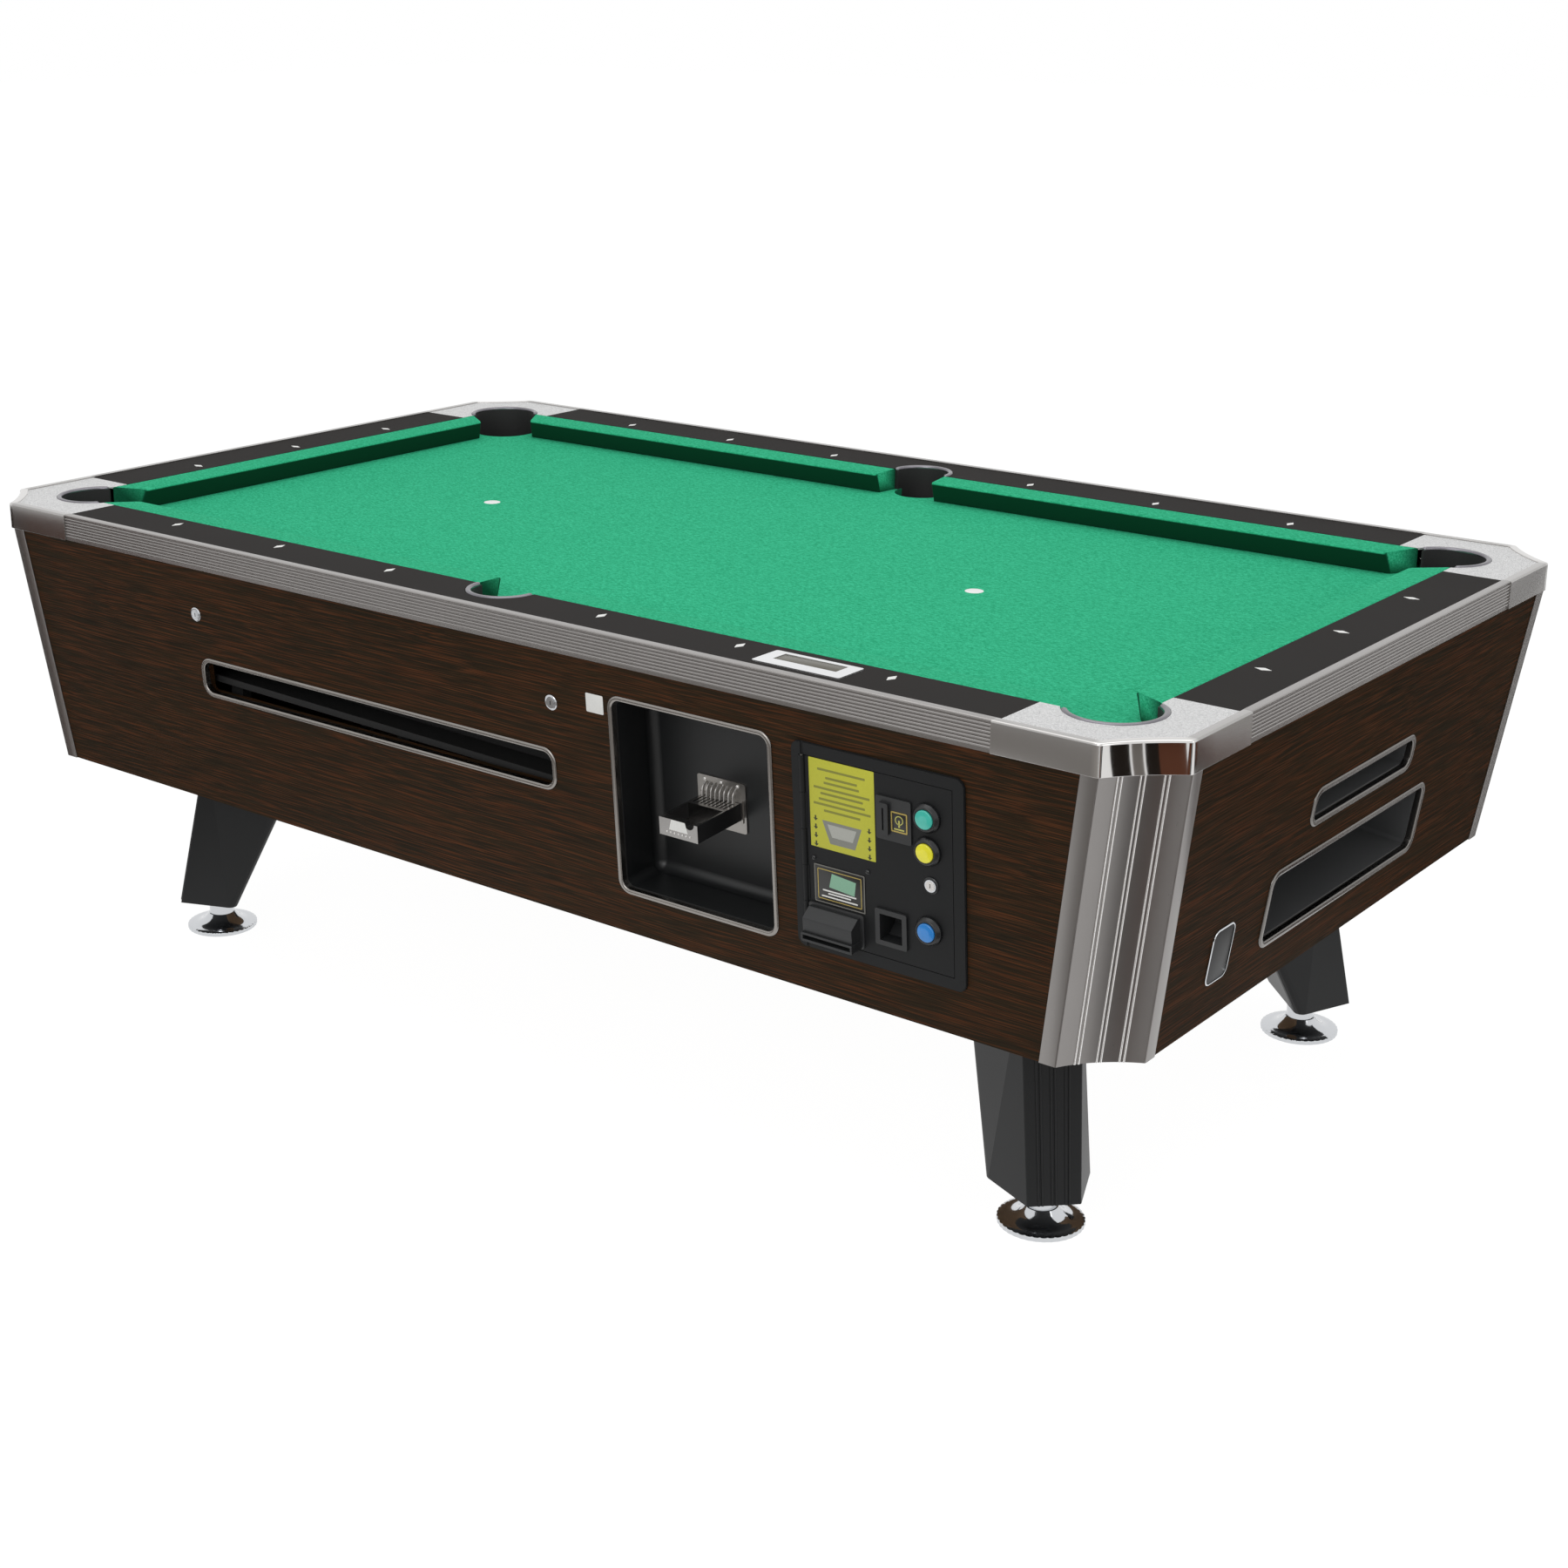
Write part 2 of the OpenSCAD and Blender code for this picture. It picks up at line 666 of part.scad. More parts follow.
module slate_frame() {
  xe = wall_x(z_frame) - t_end - seat - ledger_w;
  color("#9a7d5a") difference() {
    frame_beams(xe);
    for (p = [[bay_x, bay_w], [panel_x, panel_w - 12]])
      brick(around(p[0], p[1] / 2 + 14), [-hw, -slate_y + ledger_w + 12], [z_frame - 1, z_under - 12]);
  }
}
module frame_beams(xe) {
  translate([0, 0, z_frame]) linear_extrude(beam_h) difference() {
    inside_plan(z_frame, seat);
    intersection() {
      inside_plan(z_frame, seat + ledger_w);
      union() {
        both_y() bay_hole(beam_w / 2 - beam_x(0), beam_x(0) - beam_w / 2);
        quad() {
          bay_hole(beam_x(0) + beam_w / 2, beam_x(1) - beam_w / 2);
          bay_hole(beam_x(1) + beam_w / 2, xe);
        }
      }
    }
  }
}

// Pockets: a tube through the slate, its upper part only behind the cushions
z_mouth = z_slate - seat;
module mouth_corner() {
  translate([hl - rail_in - 300, hw - rail_in - 300, z_mouth]) cube([300, 300, 100]);
}
module mouth_side() {
  translate([-150, hw - rail_in - 200, z_mouth]) cube([300, 200, 100]);
}
module corner_pocket_liners() {
  color("#151515") quad() difference() {
    translate([hl - corner_pocket_in, hw - corner_pocket_in, 0])
      tube(corner_pocket_r + liner_t, corner_pocket_r, z_under - liner_drop, z_plate);
    mouth_corner();
  }
}
module side_pocket_liners() {
  color("#151515") both_y() difference() {
    translate([0, hw - side_pocket_in, 0])
      tube(side_pocket_r + liner_t, side_pocket_r, z_under - liner_drop, z_plate);
    mouth_side();
  }
}
module rim(r) {
  h = table_h - z_plate;
  translate([0, 0, z_plate]) rotate_extrude($fn = 96)
    polygon(rounded([[r, 0], [r + rim_w, 0], [r + rim_w, h], [r, h]], [0, 0, 1.8, 1.8], 4));
}
module corner_pocket_rims() {
  color("#9fa3a8") quad() difference() {
    translate([hl - corner_pocket_in, hw - corner_pocket_in, 0]) rim(corner_pocket_r);
    mouth_corner();
  }
}
module side_pocket_rims() {
  color("#9fa3a8") both_y() difference() {
    translate([0, hw - side_pocket_in, 0]) rim(side_pocket_r);
    mouth_side();
  }
}
// Boots catch the balls under the liners and let them roll in to the runways
run_y = hw - 313;
run_w = 62;
run_t = 3;
run_h = 34;
sill = 2;
door_cut = run_w / 2 - 0.5;
boot_in = run_y + run_w / 2 + run_t;
z_boot = z_under - liner_drop - seat;
module boot(x, y, r) {
  hx = r + liner_t;
  yo = y + r + liner_t;
  translate([x, 0, 0]) difference() {
    translate([-hx, 0, 0]) rotate([90, 0, 90]) linear_extrude(2 * hx)
      polygon([[boot_in, z_boot - 21], [yo, z_boot - 14], [yo, z_boot], [boot_in, z_boot]]);
    translate([-hx + 3, 0, 0]) rotate([90, 0, 90]) linear_extrude(2 * hx - 6)
      polygon([[boot_in - 5, z_boot - 18], [yo - 3, z_boot - 11], [yo - 3, z_boot + 9], [boot_in - 5, z_boot + 9]]);
  }
}
module pocket_boots() {
  color("#1d1d1d") {
    quad() boot(hl - corner_pocket_in, hw - corner_pocket_in, corner_pocket_r);
    both_y() boot(0, hw - side_pocket_in, side_pocket_r);
  }
}

// Troughs for the balls: points give the middle of the trough's floor
module reach(p, q, over, w, lo, hi) {
  d = q - p;
  far = norm([d.x, d.y]) + over;
  fall = d.z / (far - over);
  translate(p) rotate([0, 0, atan2(d.y, d.x)]) rotate([90, 0, 0]) translate([0, 0, -w / 2]) linear_extrude(w)
    polygon([[-over, lo - over * fall], [far, lo + far * fall], [far, hi + far * fall], [-over, hi - over * fall]]);
}
module trough_out(p, q) {
  reach(p, q, run_w / 2 + run_t, run_w + 2 * run_t, -run_t, run_h);
}
module trough_in(p, q, over = 0) {
  reach(p, q, run_w / 2 + over, run_w, 0, run_h + 60);
}
run_head = hl - corner_pocket_in;
cross_x = hl - 206;
run_a = z_cab + 286;
run_b = run_a - 22;
function run_z(x) = run_a + (run_b - run_a) * (x + run_head) / (run_head + cross_x);
// Side branch that takes the cue ball to the return tray
module cue_branch() {
  a = [cue_x, -run_y + 31, run_b - 9];
  b = [cue_x, -cue_w / 2 - 44, run_b - 14];
  union() {
    difference() {
      trough_out(a, b);
      trough_in(a, b);
      brick([cue_x - 60, cue_x], [-run_y + 1, -run_y + 61], [run_b - 9 + sill, run_b + 60]);
      translate([cue_x, b.y, run_b - 68]) cylinder(h = 80, r = 30);
    }
    brick([cue_x + 20, cue_x + 32], [-run_y - 2, -run_y + 16], [z_floor, run_b - 11]);
  }
}
module ball_runways() {
  back = [[-run_head, run_y, run_a], [cross_x, run_y, run_b]];
  front = [[-run_head, -run_y, run_a], [cross_x, -run_y, run_b]];
  cross = [[cross_x, run_y, run_b - 1], [cross_x, -run_y - 14, run_b - 9]];
  color("#7c7f82") difference() {
    union() {
      trough_out(back[0], back[1]);
      trough_out(front[0], front[1]);
      trough_out(cross[0], cross[1]);
      for (x = [beam_x(0), beam_x(1), -beam_x(0), -beam_x(1)], s = [-1, 1], e = [-1, 1])
        brick(around(x, 15), around(s * run_y + e * (run_w + run_t) / 2, run_t / 2), [run_z(x), z_frame]);
    }
    trough_in(back[0], back[1]);
    trough_in(front[0], front[1]);
    trough_in(cross[0], cross[1]);
    brick(around(cross_x, door_cut), [-run_y - 80, -run_y - 10], [run_b - 9 + sill, run_b + 60]);
    brick([cross_x, cross_x + 60], [-run_y + 1, -run_y + 61], [run_b - 7 + sill, run_b + 60]);
  }
  color("#7c7f82") cue_branch();
}
trans_y = run_y + 14 + run_w + 2 * run_t + 2;
trans_a = run_b - 17;
trans_b = trans_a - 22;
store_x0 = -690;
store_y = hw - 85;
store_x1 = 185;
front_lip = 8;
trans_end = store_x0 + run_w + 2 * run_t + 2;
function on_run(p, q, x) = p.z + (q.z - p.z) * (x - p.x) / (q.x - p.x);
module stand(x, y, z) {
  brick(around(x, 14), around(y, 9), [z_floor, z - run_t / 2]);
}
module transfer_runway() {
  p = [cross_x, -trans_y, trans_a];
  q = [trans_end, -trans_y, trans_b];
  color("#7c7f82") {
    difference() {
      trough_out(p, q);
      trough_in(p, q);
      brick(around(cross_x, door_cut), [-trans_y, -trans_y + 60], [trans_a + sill, trans_a + 60]);
      brick([trans_end - 60, trans_end], around(-trans_y, door_cut), [trans_b + sill, trans_b + 60]);
    }
    for (x = [-420, 120, cross_x - 355]) stand(x, -trans_y - 20, on_run(p, q, x));
  }
}
module ball_storage_tray() {
  a = [store_x0, -trans_y, trans_b - 4];
  b = [store_x0, -store_y, trans_b - 7];
  c = [store_x1, -store_y, store_z];
  guide_y = run_w / 2 + run_t;
  low = [0, (run_w + run_t) / 2, 0];
  b_fall = (c.z - b.z) / (c.x - b.x);
  color("#1d1d1d") {
    difference() {
      union() {
        trough_out(a, b);
        trough_out(b, c);
        for (s = [-1, 1]) brick([gate_x - 8, gate_x + 9], around(s * (guide_y + 1) - store_y, 4), [store_z - 2, gate_top + 8]);
      }
      trough_in(a, b);
      trough_in(b, c);
      reach(b + [60, 0, b_fall * 60] - low, c - [40, 0, b_fall * 40] - low, 0, run_t + 2, front_lip, run_h + 40);
      brick([store_x0, store_x0 + 60], around(-trans_y, door_cut), [trans_b - 4 + sill, trans_b + 60]);
      brick([store_x1, store_x1 + 60], around(-store_y, door_cut), [store_z + sill, store_z + 200]);
      brick([store_x1 + 38, store_x1 + 80], around(-store_y, 60), [store_z - 50, store_z + 200]);
      brick([gate_x - 0.4, gate_x + gate_t + 0.4], around(-store_y, run_w / 2 + 5.3), [store_z + 0.1, gate_top + 20]);
      brick([gate_x - 0.4, gate_x + gate_t + 0.4], [0, lug_y] - [store_y, store_y], [bar_z - 1, gate_top + 20]);
    }
    for (x = [-600, -200, 120]) stand(x, -store_y, on_run(b, c, x));
  }
}
store_z = z_cab + 199;
gate_x = store_x1 + 16;
gate_t = 3;
gate_h = 52;
gate_top = store_z + gate_h + gate_lift;
bar_z = z_cab + 226;
lug_y = run_w / 2 + 14;
module ball_gate() {
  color("#b9bcc0") {
    brick([gate_x, gate_x + gate_t], around(-store_y, run_w / 2 + 5), [store_z + seat, store_z + gate_h]);
    brick([gate_x, gate_x + gate_t], [0, lug_y] - [store_y, store_y], [bar_z, bar_z + 12]);
    brick([gate_x, chute_x + 20], [lug_y - 4, lug_y] - [store_y, store_y], [bar_z, bar_z + 12]);
  }
}
ret_x = 255;
ret_y = hw - 273;
ret_end_x = hl - 171;
module return_runway() {
  a = [ret_x, -store_y, store_z - 25];
  b = [ret_x, -ret_y, store_z - 41];
  c = [ret_end_x, -ret_y, return_z + 6];
  d = [ret_end_x, -tray_side - 35, return_z + 3];
  color("#7c7f82") {
    difference() {
      union() {
        trough_out(a, b);
        trough_out(b, c);
        trough_out(c, d);
      }
      trough_in(a, b);
      trough_in(b, c);
      trough_in(c, d, 20);
      brick([ret_x - 60, ret_x], around(-store_y, door_cut), [store_z - 3, store_z + 57]);
    }
    for (x = [ret_x + 75, ret_x + 445, ret_end_x - 80]) stand(x, -ret_y, on_run(b, c, x));
    stand(ret_x, -(store_y + ret_y) / 2, (a.z + b.z) / 2);
  }
}
tray_side = (return_w - 2 * foot_ring_w + hole_off - 0.4) / 2 + 2;
cue_x = cross_x + run_w + 2 * run_t + 2;
module slot_trim() {
  color("#b9bcc0") on_front(slot_x, slot_z) ring_trim(slot_l, slot_h, slot_r, ring_w);
}
module coin_bay_trim() {
  color("#b9bcc0") on_front(bay_x, bay_z) ring_trim(bay_w, bay_h, bay_r, ring_w);
}
// Coin chute frame: its origin is the middle of the slide plate on the bay's back wall
module at_chute() {
  on_front(chute_x, chute_z) translate([0, 0, -bay_depth]) children();
}
coin_y = -4.5;
chan_t = 3;
chan_w = coin_w + 2 * (coin_gap + chan_t);
chan_h = coin_h + 2 * (coin_gap + chan_t);
chan_l = 62;
module coin_bay_liner() {
  color("#191919") difference() {
    on_front(bay_x, bay_z) box_liner(bay_w, bay_h, bay_r, ring_w, bay_depth, 10);
    at_chute() translate([0, coin_y, -10]) linear_extrude(20) square([chan_w + 0.4, chan_h + 0.4], center = true);
  }
}
// Slide plate with the channel that guides the coin tray and drops the coins
module coin_slide_plate() {
  color("#c9ccd0") at_chute() difference() {
    union() {
      linear_extrude(chute_t) rrect(chute_w, chute_h, 4);
      translate([-chan_w / 2, coin_y - chan_h / 2, -chan_l]) cube([chan_w, chan_h, chan_l + 0.5]);
      translate([-coin_w / 2 - 4, coin_y - coin_h / 2 - 4, 0]) cube([coin_w + 8, coin_h + 8, chute_t + 2]);
    }
    translate([0, coin_y, -chan_l - 1]) linear_extrude(chan_l + 20)
      square([coin_w + 2 * coin_gap, coin_h + 2 * coin_gap], center = true);
    translate([-coin_w / 2 + 6, coin_y - chan_h / 2 - 1, -chan_l + 10]) cube([coin_w - 12, 10, chan_l - 26]);
  }
}
coin_back = 14;
coin_front = 12;
// Coin tray: a front block with finger notch and peep holes, an open well, and upright coin slots
module coin_tray() {
  l = coin_out + chute_t + coin_back;
  coins_l = coin_slot_l + 6;
  pitch = (coin_w - 8) / coin_slots;
  color("#8f9296") at_chute() translate([0, coin_y, -coin_back]) difference() {
    translate([-coin_w / 2, -coin_h / 2, 0]) cube([coin_w, coin_h, l]);
    translate([-coin_w / 2 + 3, -coin_h / 2 + 3, coin_back + chute_t + coins_l + 4])
      cube([coin_w - 6, coin_h, l - coin_front - coin_back - chute_t - coins_l - 4]);
    for (i = [0:coin_slots - 1]) translate([(i - (coin_slots - 1) / 2) * pitch - coin_slot_w / 2,
      -coin_h / 2 + 3, coin_back + chute_t + 4]) cube([coin_slot_w, coin_h, coin_slot_l]);
    for (i = [-3:3]) translate([i * 7, -coin_h / 2 + 7, l - coin_front - 1]) cylinder(h = coin_front + 2, r = 1.6);
    translate([coin_w / 2 - 15, coin_h / 2, l - coin_front - 1]) cylinder(h = coin_front + 2, r = 9);
  }
}
module cash_box() {
  color("#4a4d50") translate([chute_x, 0, 0]) difference() {
    brick([-56, 56], [128 - hw, 226 - hw], [z_floor, z_floor + 118]);
    brick([-53, 53], [131 - hw, 223 - hw], [z_floor + 3, z_floor + 115]);
    brick([-46, 46], [135 - hw, 203 - hw], [z_floor + 100, z_floor + 130]);
  }
}

// Control panel: the frame, in the frame of its middle on the board's face
frame_w_in = panel_w - 2 * panel_border;
frame_h_in = panel_h - 2 * panel_border;
frame_body_w = frame_w_in + 12;
frame_body_h = frame_h_in + 12;
frame_t = 4;
door_w = frame_w_in - 2 * door_gap;
door_h = frame_h_in - 2 * door_gap;
door_lo = frame_t - door_t - 0.2;
door_hi = frame_t - 0.2;
hinge_x = -frame_w_in / 2 + door_gap / 2;
hinge_z = frame_t + 0.2;
knuckle = door_h / 5;
module at_panel(x = panel_x, z = panel_z) {
  on_front(panel_x, panel_z) translate([x - panel_x, (z - panel_z) / cos(a_long), 0]) children();
}
module knuckles(from, r, over) {
  for (i = [from:2:4]) translate([hinge_x, -door_h / 2 + i * knuckle + 0.3 - over, hinge_z])
    rotate([-90, 0, 0]) cylinder(h = knuckle - 0.6 + 2 * over, r = r, $fn = 32);
}
module hinge_bore() {
  translate([hinge_x, -door_h, hinge_z]) rotate([-90, 0, 0]) cylinder(h = 2 * door_h, r = hinge_pin_r + lock_gap, $fn = 32);
}
module control_frame() {
  color("#2c2e30") at_panel() difference() {
    union() {
      difference() {
        union() {
          plug_rrect(panel_w, panel_h, panel_r, 0, frame_t - 1);
          plug_rrect(panel_w - 2, panel_h - 2, panel_r - 1, 0, frame_t);
          plug_rrect(frame_body_w, frame_body_h, 2, -26, 1);
        }
        plug_rrect(frame_w_in, frame_h_in, 1, door_lo - seat, 30);
        plug_rrect(frame_w_in - 12, frame_h_in - 12, 1, -4, 30);
        plug_rrect(frame_w_in, frame_h_in, 1, -60, -4);
        knuckles(1, hinge_r + 0.4, 0.3);
      }
      knuckles(0, hinge_r, 0);
      for (i = [0, 2, 4]) translate([hinge_x - 6, -door_h / 2 + i * knuckle + 0.3, 1]) cube([6, knuckle - 0.6, frame_t]);
    }
    hinge_bore();
  }
}
module door_hinge_pin() {
  color("#c9ccd0") at_panel() translate([hinge_x, -door_h / 2 - 1, hinge_z]) rotate([-90, 0, 0])
    cylinder(h = door_h + 2, r = hinge_pin_r, $fn = 32);
}
// Door fittings, as places on the panel
entry_x = panel_x + 29;
entry_z = panel_z + 73;
cup_x = panel_x + 21.5;
cup_z = panel_z - 88;
bill_x = panel_x - 69.5;
bill_z = panel_z - 105;
button_x = panel_x + 81.5;
start_z = panel_z + 87.5;
select_z = panel_z + 40;
reject_z = panel_z - 74.7;
door_lock_z = panel_z - 8;
door_lock_x = panel_x + 86;
lock_z = z_cab + 338;
lock_xs = [-618, 180];
barrel_r = plug_r + 1.8;
barrel_button = button_r + 2;
module control_door() {
  color("#26282a") at_panel() difference() {
    union() {
      difference() {
        translate([-door_w / 2, -door_h / 2, door_lo]) cube([door_w, door_h, door_t]);
        knuckles(0, hinge_r + 0.4, 0.3);
        for (i = [0, 2, 4]) translate([hinge_x - 1, -door_h / 2 + i * knuckle - 0.1, -1]) cube([1.8, knuckle + 0.2, 12]);
      }
      knuckles(1, hinge_r, 0);
      for (i = [1, 3]) translate([hinge_x + 0.5, -door_h / 2 + i * knuckle + 0.3, door_lo]) cube([6, knuckle - 0.6, frame_t - door_lo + 0.6]);
    }
    hinge_bore();
    translate([entry_x - panel_x, entry_z - panel_z, -5]) cube([40.4, 46.4, 20], center = true);
    translate([cup_x - panel_x, cup_z - panel_z, -5]) cube([41.4, 44.4, 30], center = true);
    translate([bill_x - panel_x, bill_z - panel_z, -5]) cube([84.4, 40.4, 30], center = true);
    for (z = [start_z, select_z, reject_z]) translate([button_x - panel_x, (z - panel_z) / cos(a_long), -5])
      cylinder(h = 20, r = barrel_button + lock_gap);
    translate([door_lock_x - panel_x, (door_lock_z - panel_z) / cos(a_long), -5]) cylinder(h = 20, r = barrel_r + lock_gap);
  }
}
// Entry plate for coins with the validator box behind it
module coin_entry() {
  color("#c2a54a") at_panel() translate([entry_x - panel_x, entry_z - panel_z, 0]) difference() {
    union() {
      translate([0, 0, door_hi]) linear_extrude(2.5) rrect(56, 62, 3);
      translate([-14, 0, door_hi + 1]) linear_extrude(6) rrect(16, 46, 3);
      translate([-20, -23, -20]) cube([40, 46, 20 + door_hi + 0.5]);
      translate([-26, -60, -110]) cube([52, 90, 100]);
    }
    translate([-15.2, -16, -60]) cube([2.4, 32, 100]);
  }
}
module coin_return_cup() {
  color("#b4b7bb") at_panel() translate([cup_x - panel_x, cup_z - panel_z, 0]) difference() {
    union() {
      translate([0, 0, door_hi]) linear_extrude(3.5) rrect(51, 53.5, 3);
      translate([-20.5, -22, -32]) cube([41, 44, 32 + door_hi + 0.5]);
    }
    translate([-18, 0, 0]) rotate([90, 0, 90]) linear_extrude(36)
      polygon([[-19.5, 12], [-19.5, -14], [-8, -29], [12, -29], [19.5, -6], [19.5, 12]]);
  }
}
// Bill acceptor: hood and lower lip in front, the drive box behind the door
module bill_acceptor() {
  color("#1c1d1f") at_panel() translate([bill_x - panel_x, bill_z - panel_z, 0]) difference() {
    union() {
      translate([0, 0, door_hi]) linear_extrude(3) rrect(92, 50, 4);
      translate([-38, 0, 0]) rotate([90, 0, 90]) linear_extrude(76)
        polygon(rounded([[-20, door_hi], [-20, 18], [-9, 24], [-3, 24], [-3, 16], [3, 16], [3, 20], [20, 12], [20, door_hi]],
          [0, 4, 3, 1, 0, 0, 4, 3, 0], 4));
      translate([-42, -20, -16]) cube([84, 40, 16 + door_hi + 0.5]);
      translate([-44, -22, -104]) cube([88, 62, 90]);
    }
    translate([-34, -3, -70]) cube([68, 6, 120]);
  }
}
module button_bezels() {
  color("#1f2022") for (z = [start_z, select_z, reject_z]) at_panel(button_x, z) {
    translate([0, 0, door_hi]) rotate_extrude() polygon(rounded([[button_r + lock_gap, -24], [barrel_button, -24],
      [barrel_button, 0], [bezel_r, 0], [bezel_r, 2.5], [button_r + 3.5, bezel_h], [button_r + lock_gap, bezel_h]],
      [0, 0, 0, 0, 1, 1.2, 0], 4));
    translate([0, 0, door_hi - 27]) cylinder(h = 3.2, r = barrel_button);
  }
}
module button(z, tint) {
  color(tint) at_panel(button_x, z) translate([0, 0, door_hi - 14]) rotate_extrude()
    polygon(rounded([[0, 0], [button_r, 0], [button_r, bezel_h + 15.2], [0, bezel_h + 16.3]], [0, 0, 2.5, 0], 5));
}
module start_button() {
  button(start_z, "#3fb7a8");
}
module select_button() {
  button(select_z, "#e6c229");
}
module reject_button() {
  button(reject_z, "#2c62c8");
}

// Locks: a barrel with a nut behind the board, and a plug with a cam
module lock_barrel(board, out) {
  difference() {
    union() {
      translate([0, 0, -board - 9]) cylinder(h = board + 9 + out, r = barrel_r);
      translate([0, 0, -board - 5]) cylinder(h = 5, r = barrel_r + 4, $fn = 6);
    }
    translate([0, 0, -board - 20]) cylinder(h = board + 60, r = plug_r + lock_gap);
  }
}
module lock_plug(board, out, turn) {
  difference() {
    union() {
      translate([0, 0, -board - 13]) cylinder(h = board + 13 + out + 0.4, r = plug_r);
      rotate([0, 0, turn]) translate([0, 0, -board - 12]) linear_extrude(2.4) {
        circle(plug_r + 1);
        translate([-6, 0]) square([12, cam_l - 6]);
        translate([0, cam_l - 6]) circle(6);
      }
    }
    translate([-0.8, -3.2, out - 3]) cube([1.6, 6.4, 10]);
  }
}
module lock_bodies() {
  color("#c9ccd0") for (x = lock_xs) on_front(x, lock_z) lock_barrel(wall_t, 2);
}
module left_lock_plug() {
  color("#c9ccd0") on_front(lock_xs[0], lock_z) lock_plug(wall_t, 2, 180);
}
module right_lock_plug() {
  color("#c9ccd0") on_front(lock_xs[1], lock_z) lock_plug(wall_t, 2, 180);
}
module door_lock_body() {
  color("#c9ccd0") at_panel(door_lock_x, door_lock_z) translate([0, 0, door_hi]) lock_barrel(door_t, 3);
}
module door_lock_plug() {
  color("#c9ccd0") at_panel(door_lock_x, door_lock_z) translate([0, 0, door_hi]) lock_plug(door_t, 3, 180);
}

// Score display let into the front rail near the foot end
module rail_display() {
  color("#d5d7d8") translate([disp_x, disp_in - hw, 0]) difference() {
    union() {
      translate([0, 0, z_rail]) linear_extrude(table_h - z_rail) rrect(disp_l, disp_w, 4);
      brick([-disp_body_l, disp_body_l] / 2 + [0.3, -0.3], [-disp_body_w, disp_body_w] / 2 + [0.3, -0.3],
        [z_rail - 23, z_rail + 0.5]);
    }
    translate([0, 7, z_rail - 3]) linear_extrude(20) square([106, 29], center = true);
  }
}

module foot_trims() {
  color("#b9bcc0") {
    on_foot(0, cue_z) ring_trim(cue_w, cue_h, end_ring_r, foot_ring_w);
    on_foot(0, return_z) ring_trim(return_w, return_h, end_ring_r, foot_ring_w);
  }
}
module shelf_liner() {
  color("#191919") on_foot(0, cue_z) box_liner(cue_w, cue_h, end_ring_r, foot_ring_w, cue_depth, 8);
}
module ball_return_tray() {
  back_x = wall_x(return_z) - 40;
  color("#191919") difference() {
    on_foot(0, return_z) box_liner(return_w, return_h, end_ring_r, foot_ring_w, return_depth, 8);
    brick([back_x - 200, back_x], [-tray_side + 6, tray_side - 6], [return_z + 20, return_z + 120]);
    brick(around(ret_end_x, door_cut), [-tray_side - 5, -tray_side + 12], [return_z + 3 + sill, return_z + 90]);
  }
}

// Legs taper down to a small foot plate, with the same beads as the posts in front
leg_low = [[22, 77], [77, 22], [33, -83], [-83, 33]];
leg_top = [[-27, 36], [36, -27], [-64.4, -193.5], [-193.5, -64.4]];
bolt_points = [[-42, -42], [-68, -132], [-132, -68]];
bolt_r = 6;
leg_bead = [[22, 77, leg_z], [77, 22, leg_z], [-27, 36, z_cab], [36, -27, z_cab]];
module leg() {
  difference() {
    union() {
      hull() {
        translate([0, 0, leg_z]) linear_extrude(eps) polygon(rounded(leg_low, [3, 3, 12, 12], 4));
        translate([0, 0, z_cab - eps]) linear_extrude(eps) polygon(rounded(leg_top, [3, 3, 14, 14], 4));
      }
      intersection() {
        for (i = [1:bead_pairs], s = [-1, 1]) {
          f = i / (bead_pairs + 1) + s * bead_gap / 2 / 80;
          rod(leg_bead[0] * (1 - f) + leg_bead[1] * f, leg_bead[2] * (1 - f) + leg_bead[3] * f, bead_r + 0.6);
        }
        translate([-300, -300, leg_z]) cube([600, 600, z_cab - leg_z]);
      }
    }
    translate([0, 0, leg_z - 1]) cylinder(h = screw_l + 5, r = screw_r + lock_gap);
    for (p = bolt_points) translate([p.x, p.y, z_cab - 40]) cylinder(h = 50, r = bolt_r + lock_gap);
  }
}
module legs() {
  color("#17181a") quad() translate([foot_x, foot_y, 0]) leg();
}
module leg_bolts() {
  color("#8a8d91") quad() for (p = bolt_points) translate([foot_x + p.x, foot_y + p.y, 0]) {
    translate([0, 0, z_cab - 36]) cylinder(h = 40 + floor_t, r = bolt_r);
    translate([0, 0, z_floor]) cylinder(h = 2.5, r = 13);
    translate([0, 0, z_floor + 2]) cylinder(h = 8.5, r = 10.5, $fn = 6);
  }
}
// Levelling foot: milled disc, hollow cone, stem and screw
module leveler() {
  difference() {
    rotate_extrude($fn = 96) polygon(rounded([[0, 0], [foot_r, 0], [foot_r, foot_rim], [foot_r - 8, foot_rim + 1],
      [stem_r + 6, foot_rim + 7], [stem_r + 1.5, foot_cone], [stem_r, foot_cone], [stem_r, leg_z - seat],
      [screw_r, leg_z - seat], [screw_r, leg_z + screw_l], [0, leg_z + screw_l]],
      [0, 1.2, 1.2, 0, 12, 0, 0, 1, 0, 1.5, 0], 5));
    for (i = [0:35]) rotate([0, 0, i * 10]) translate([foot_r + 0.7, 0, 1]) cylinder(h = foot_rim - 2.2, r = 1.6, $fn = 16);
  }
}
module leveler_front_foot() {
  color("#d6d8da") translate([foot_x, -foot_y, 0]) leveler();
}
module leveler_front_head() {
  color("#d6d8da") translate([-foot_x, -foot_y, 0]) leveler();
}
module leveler_back_foot() {
  color("#d6d8da") translate([foot_x, foot_y, 0]) leveler();
}
module leveler_back_head() {
  color("#d6d8da") translate([-foot_x, foot_y, 0]) leveler();
}

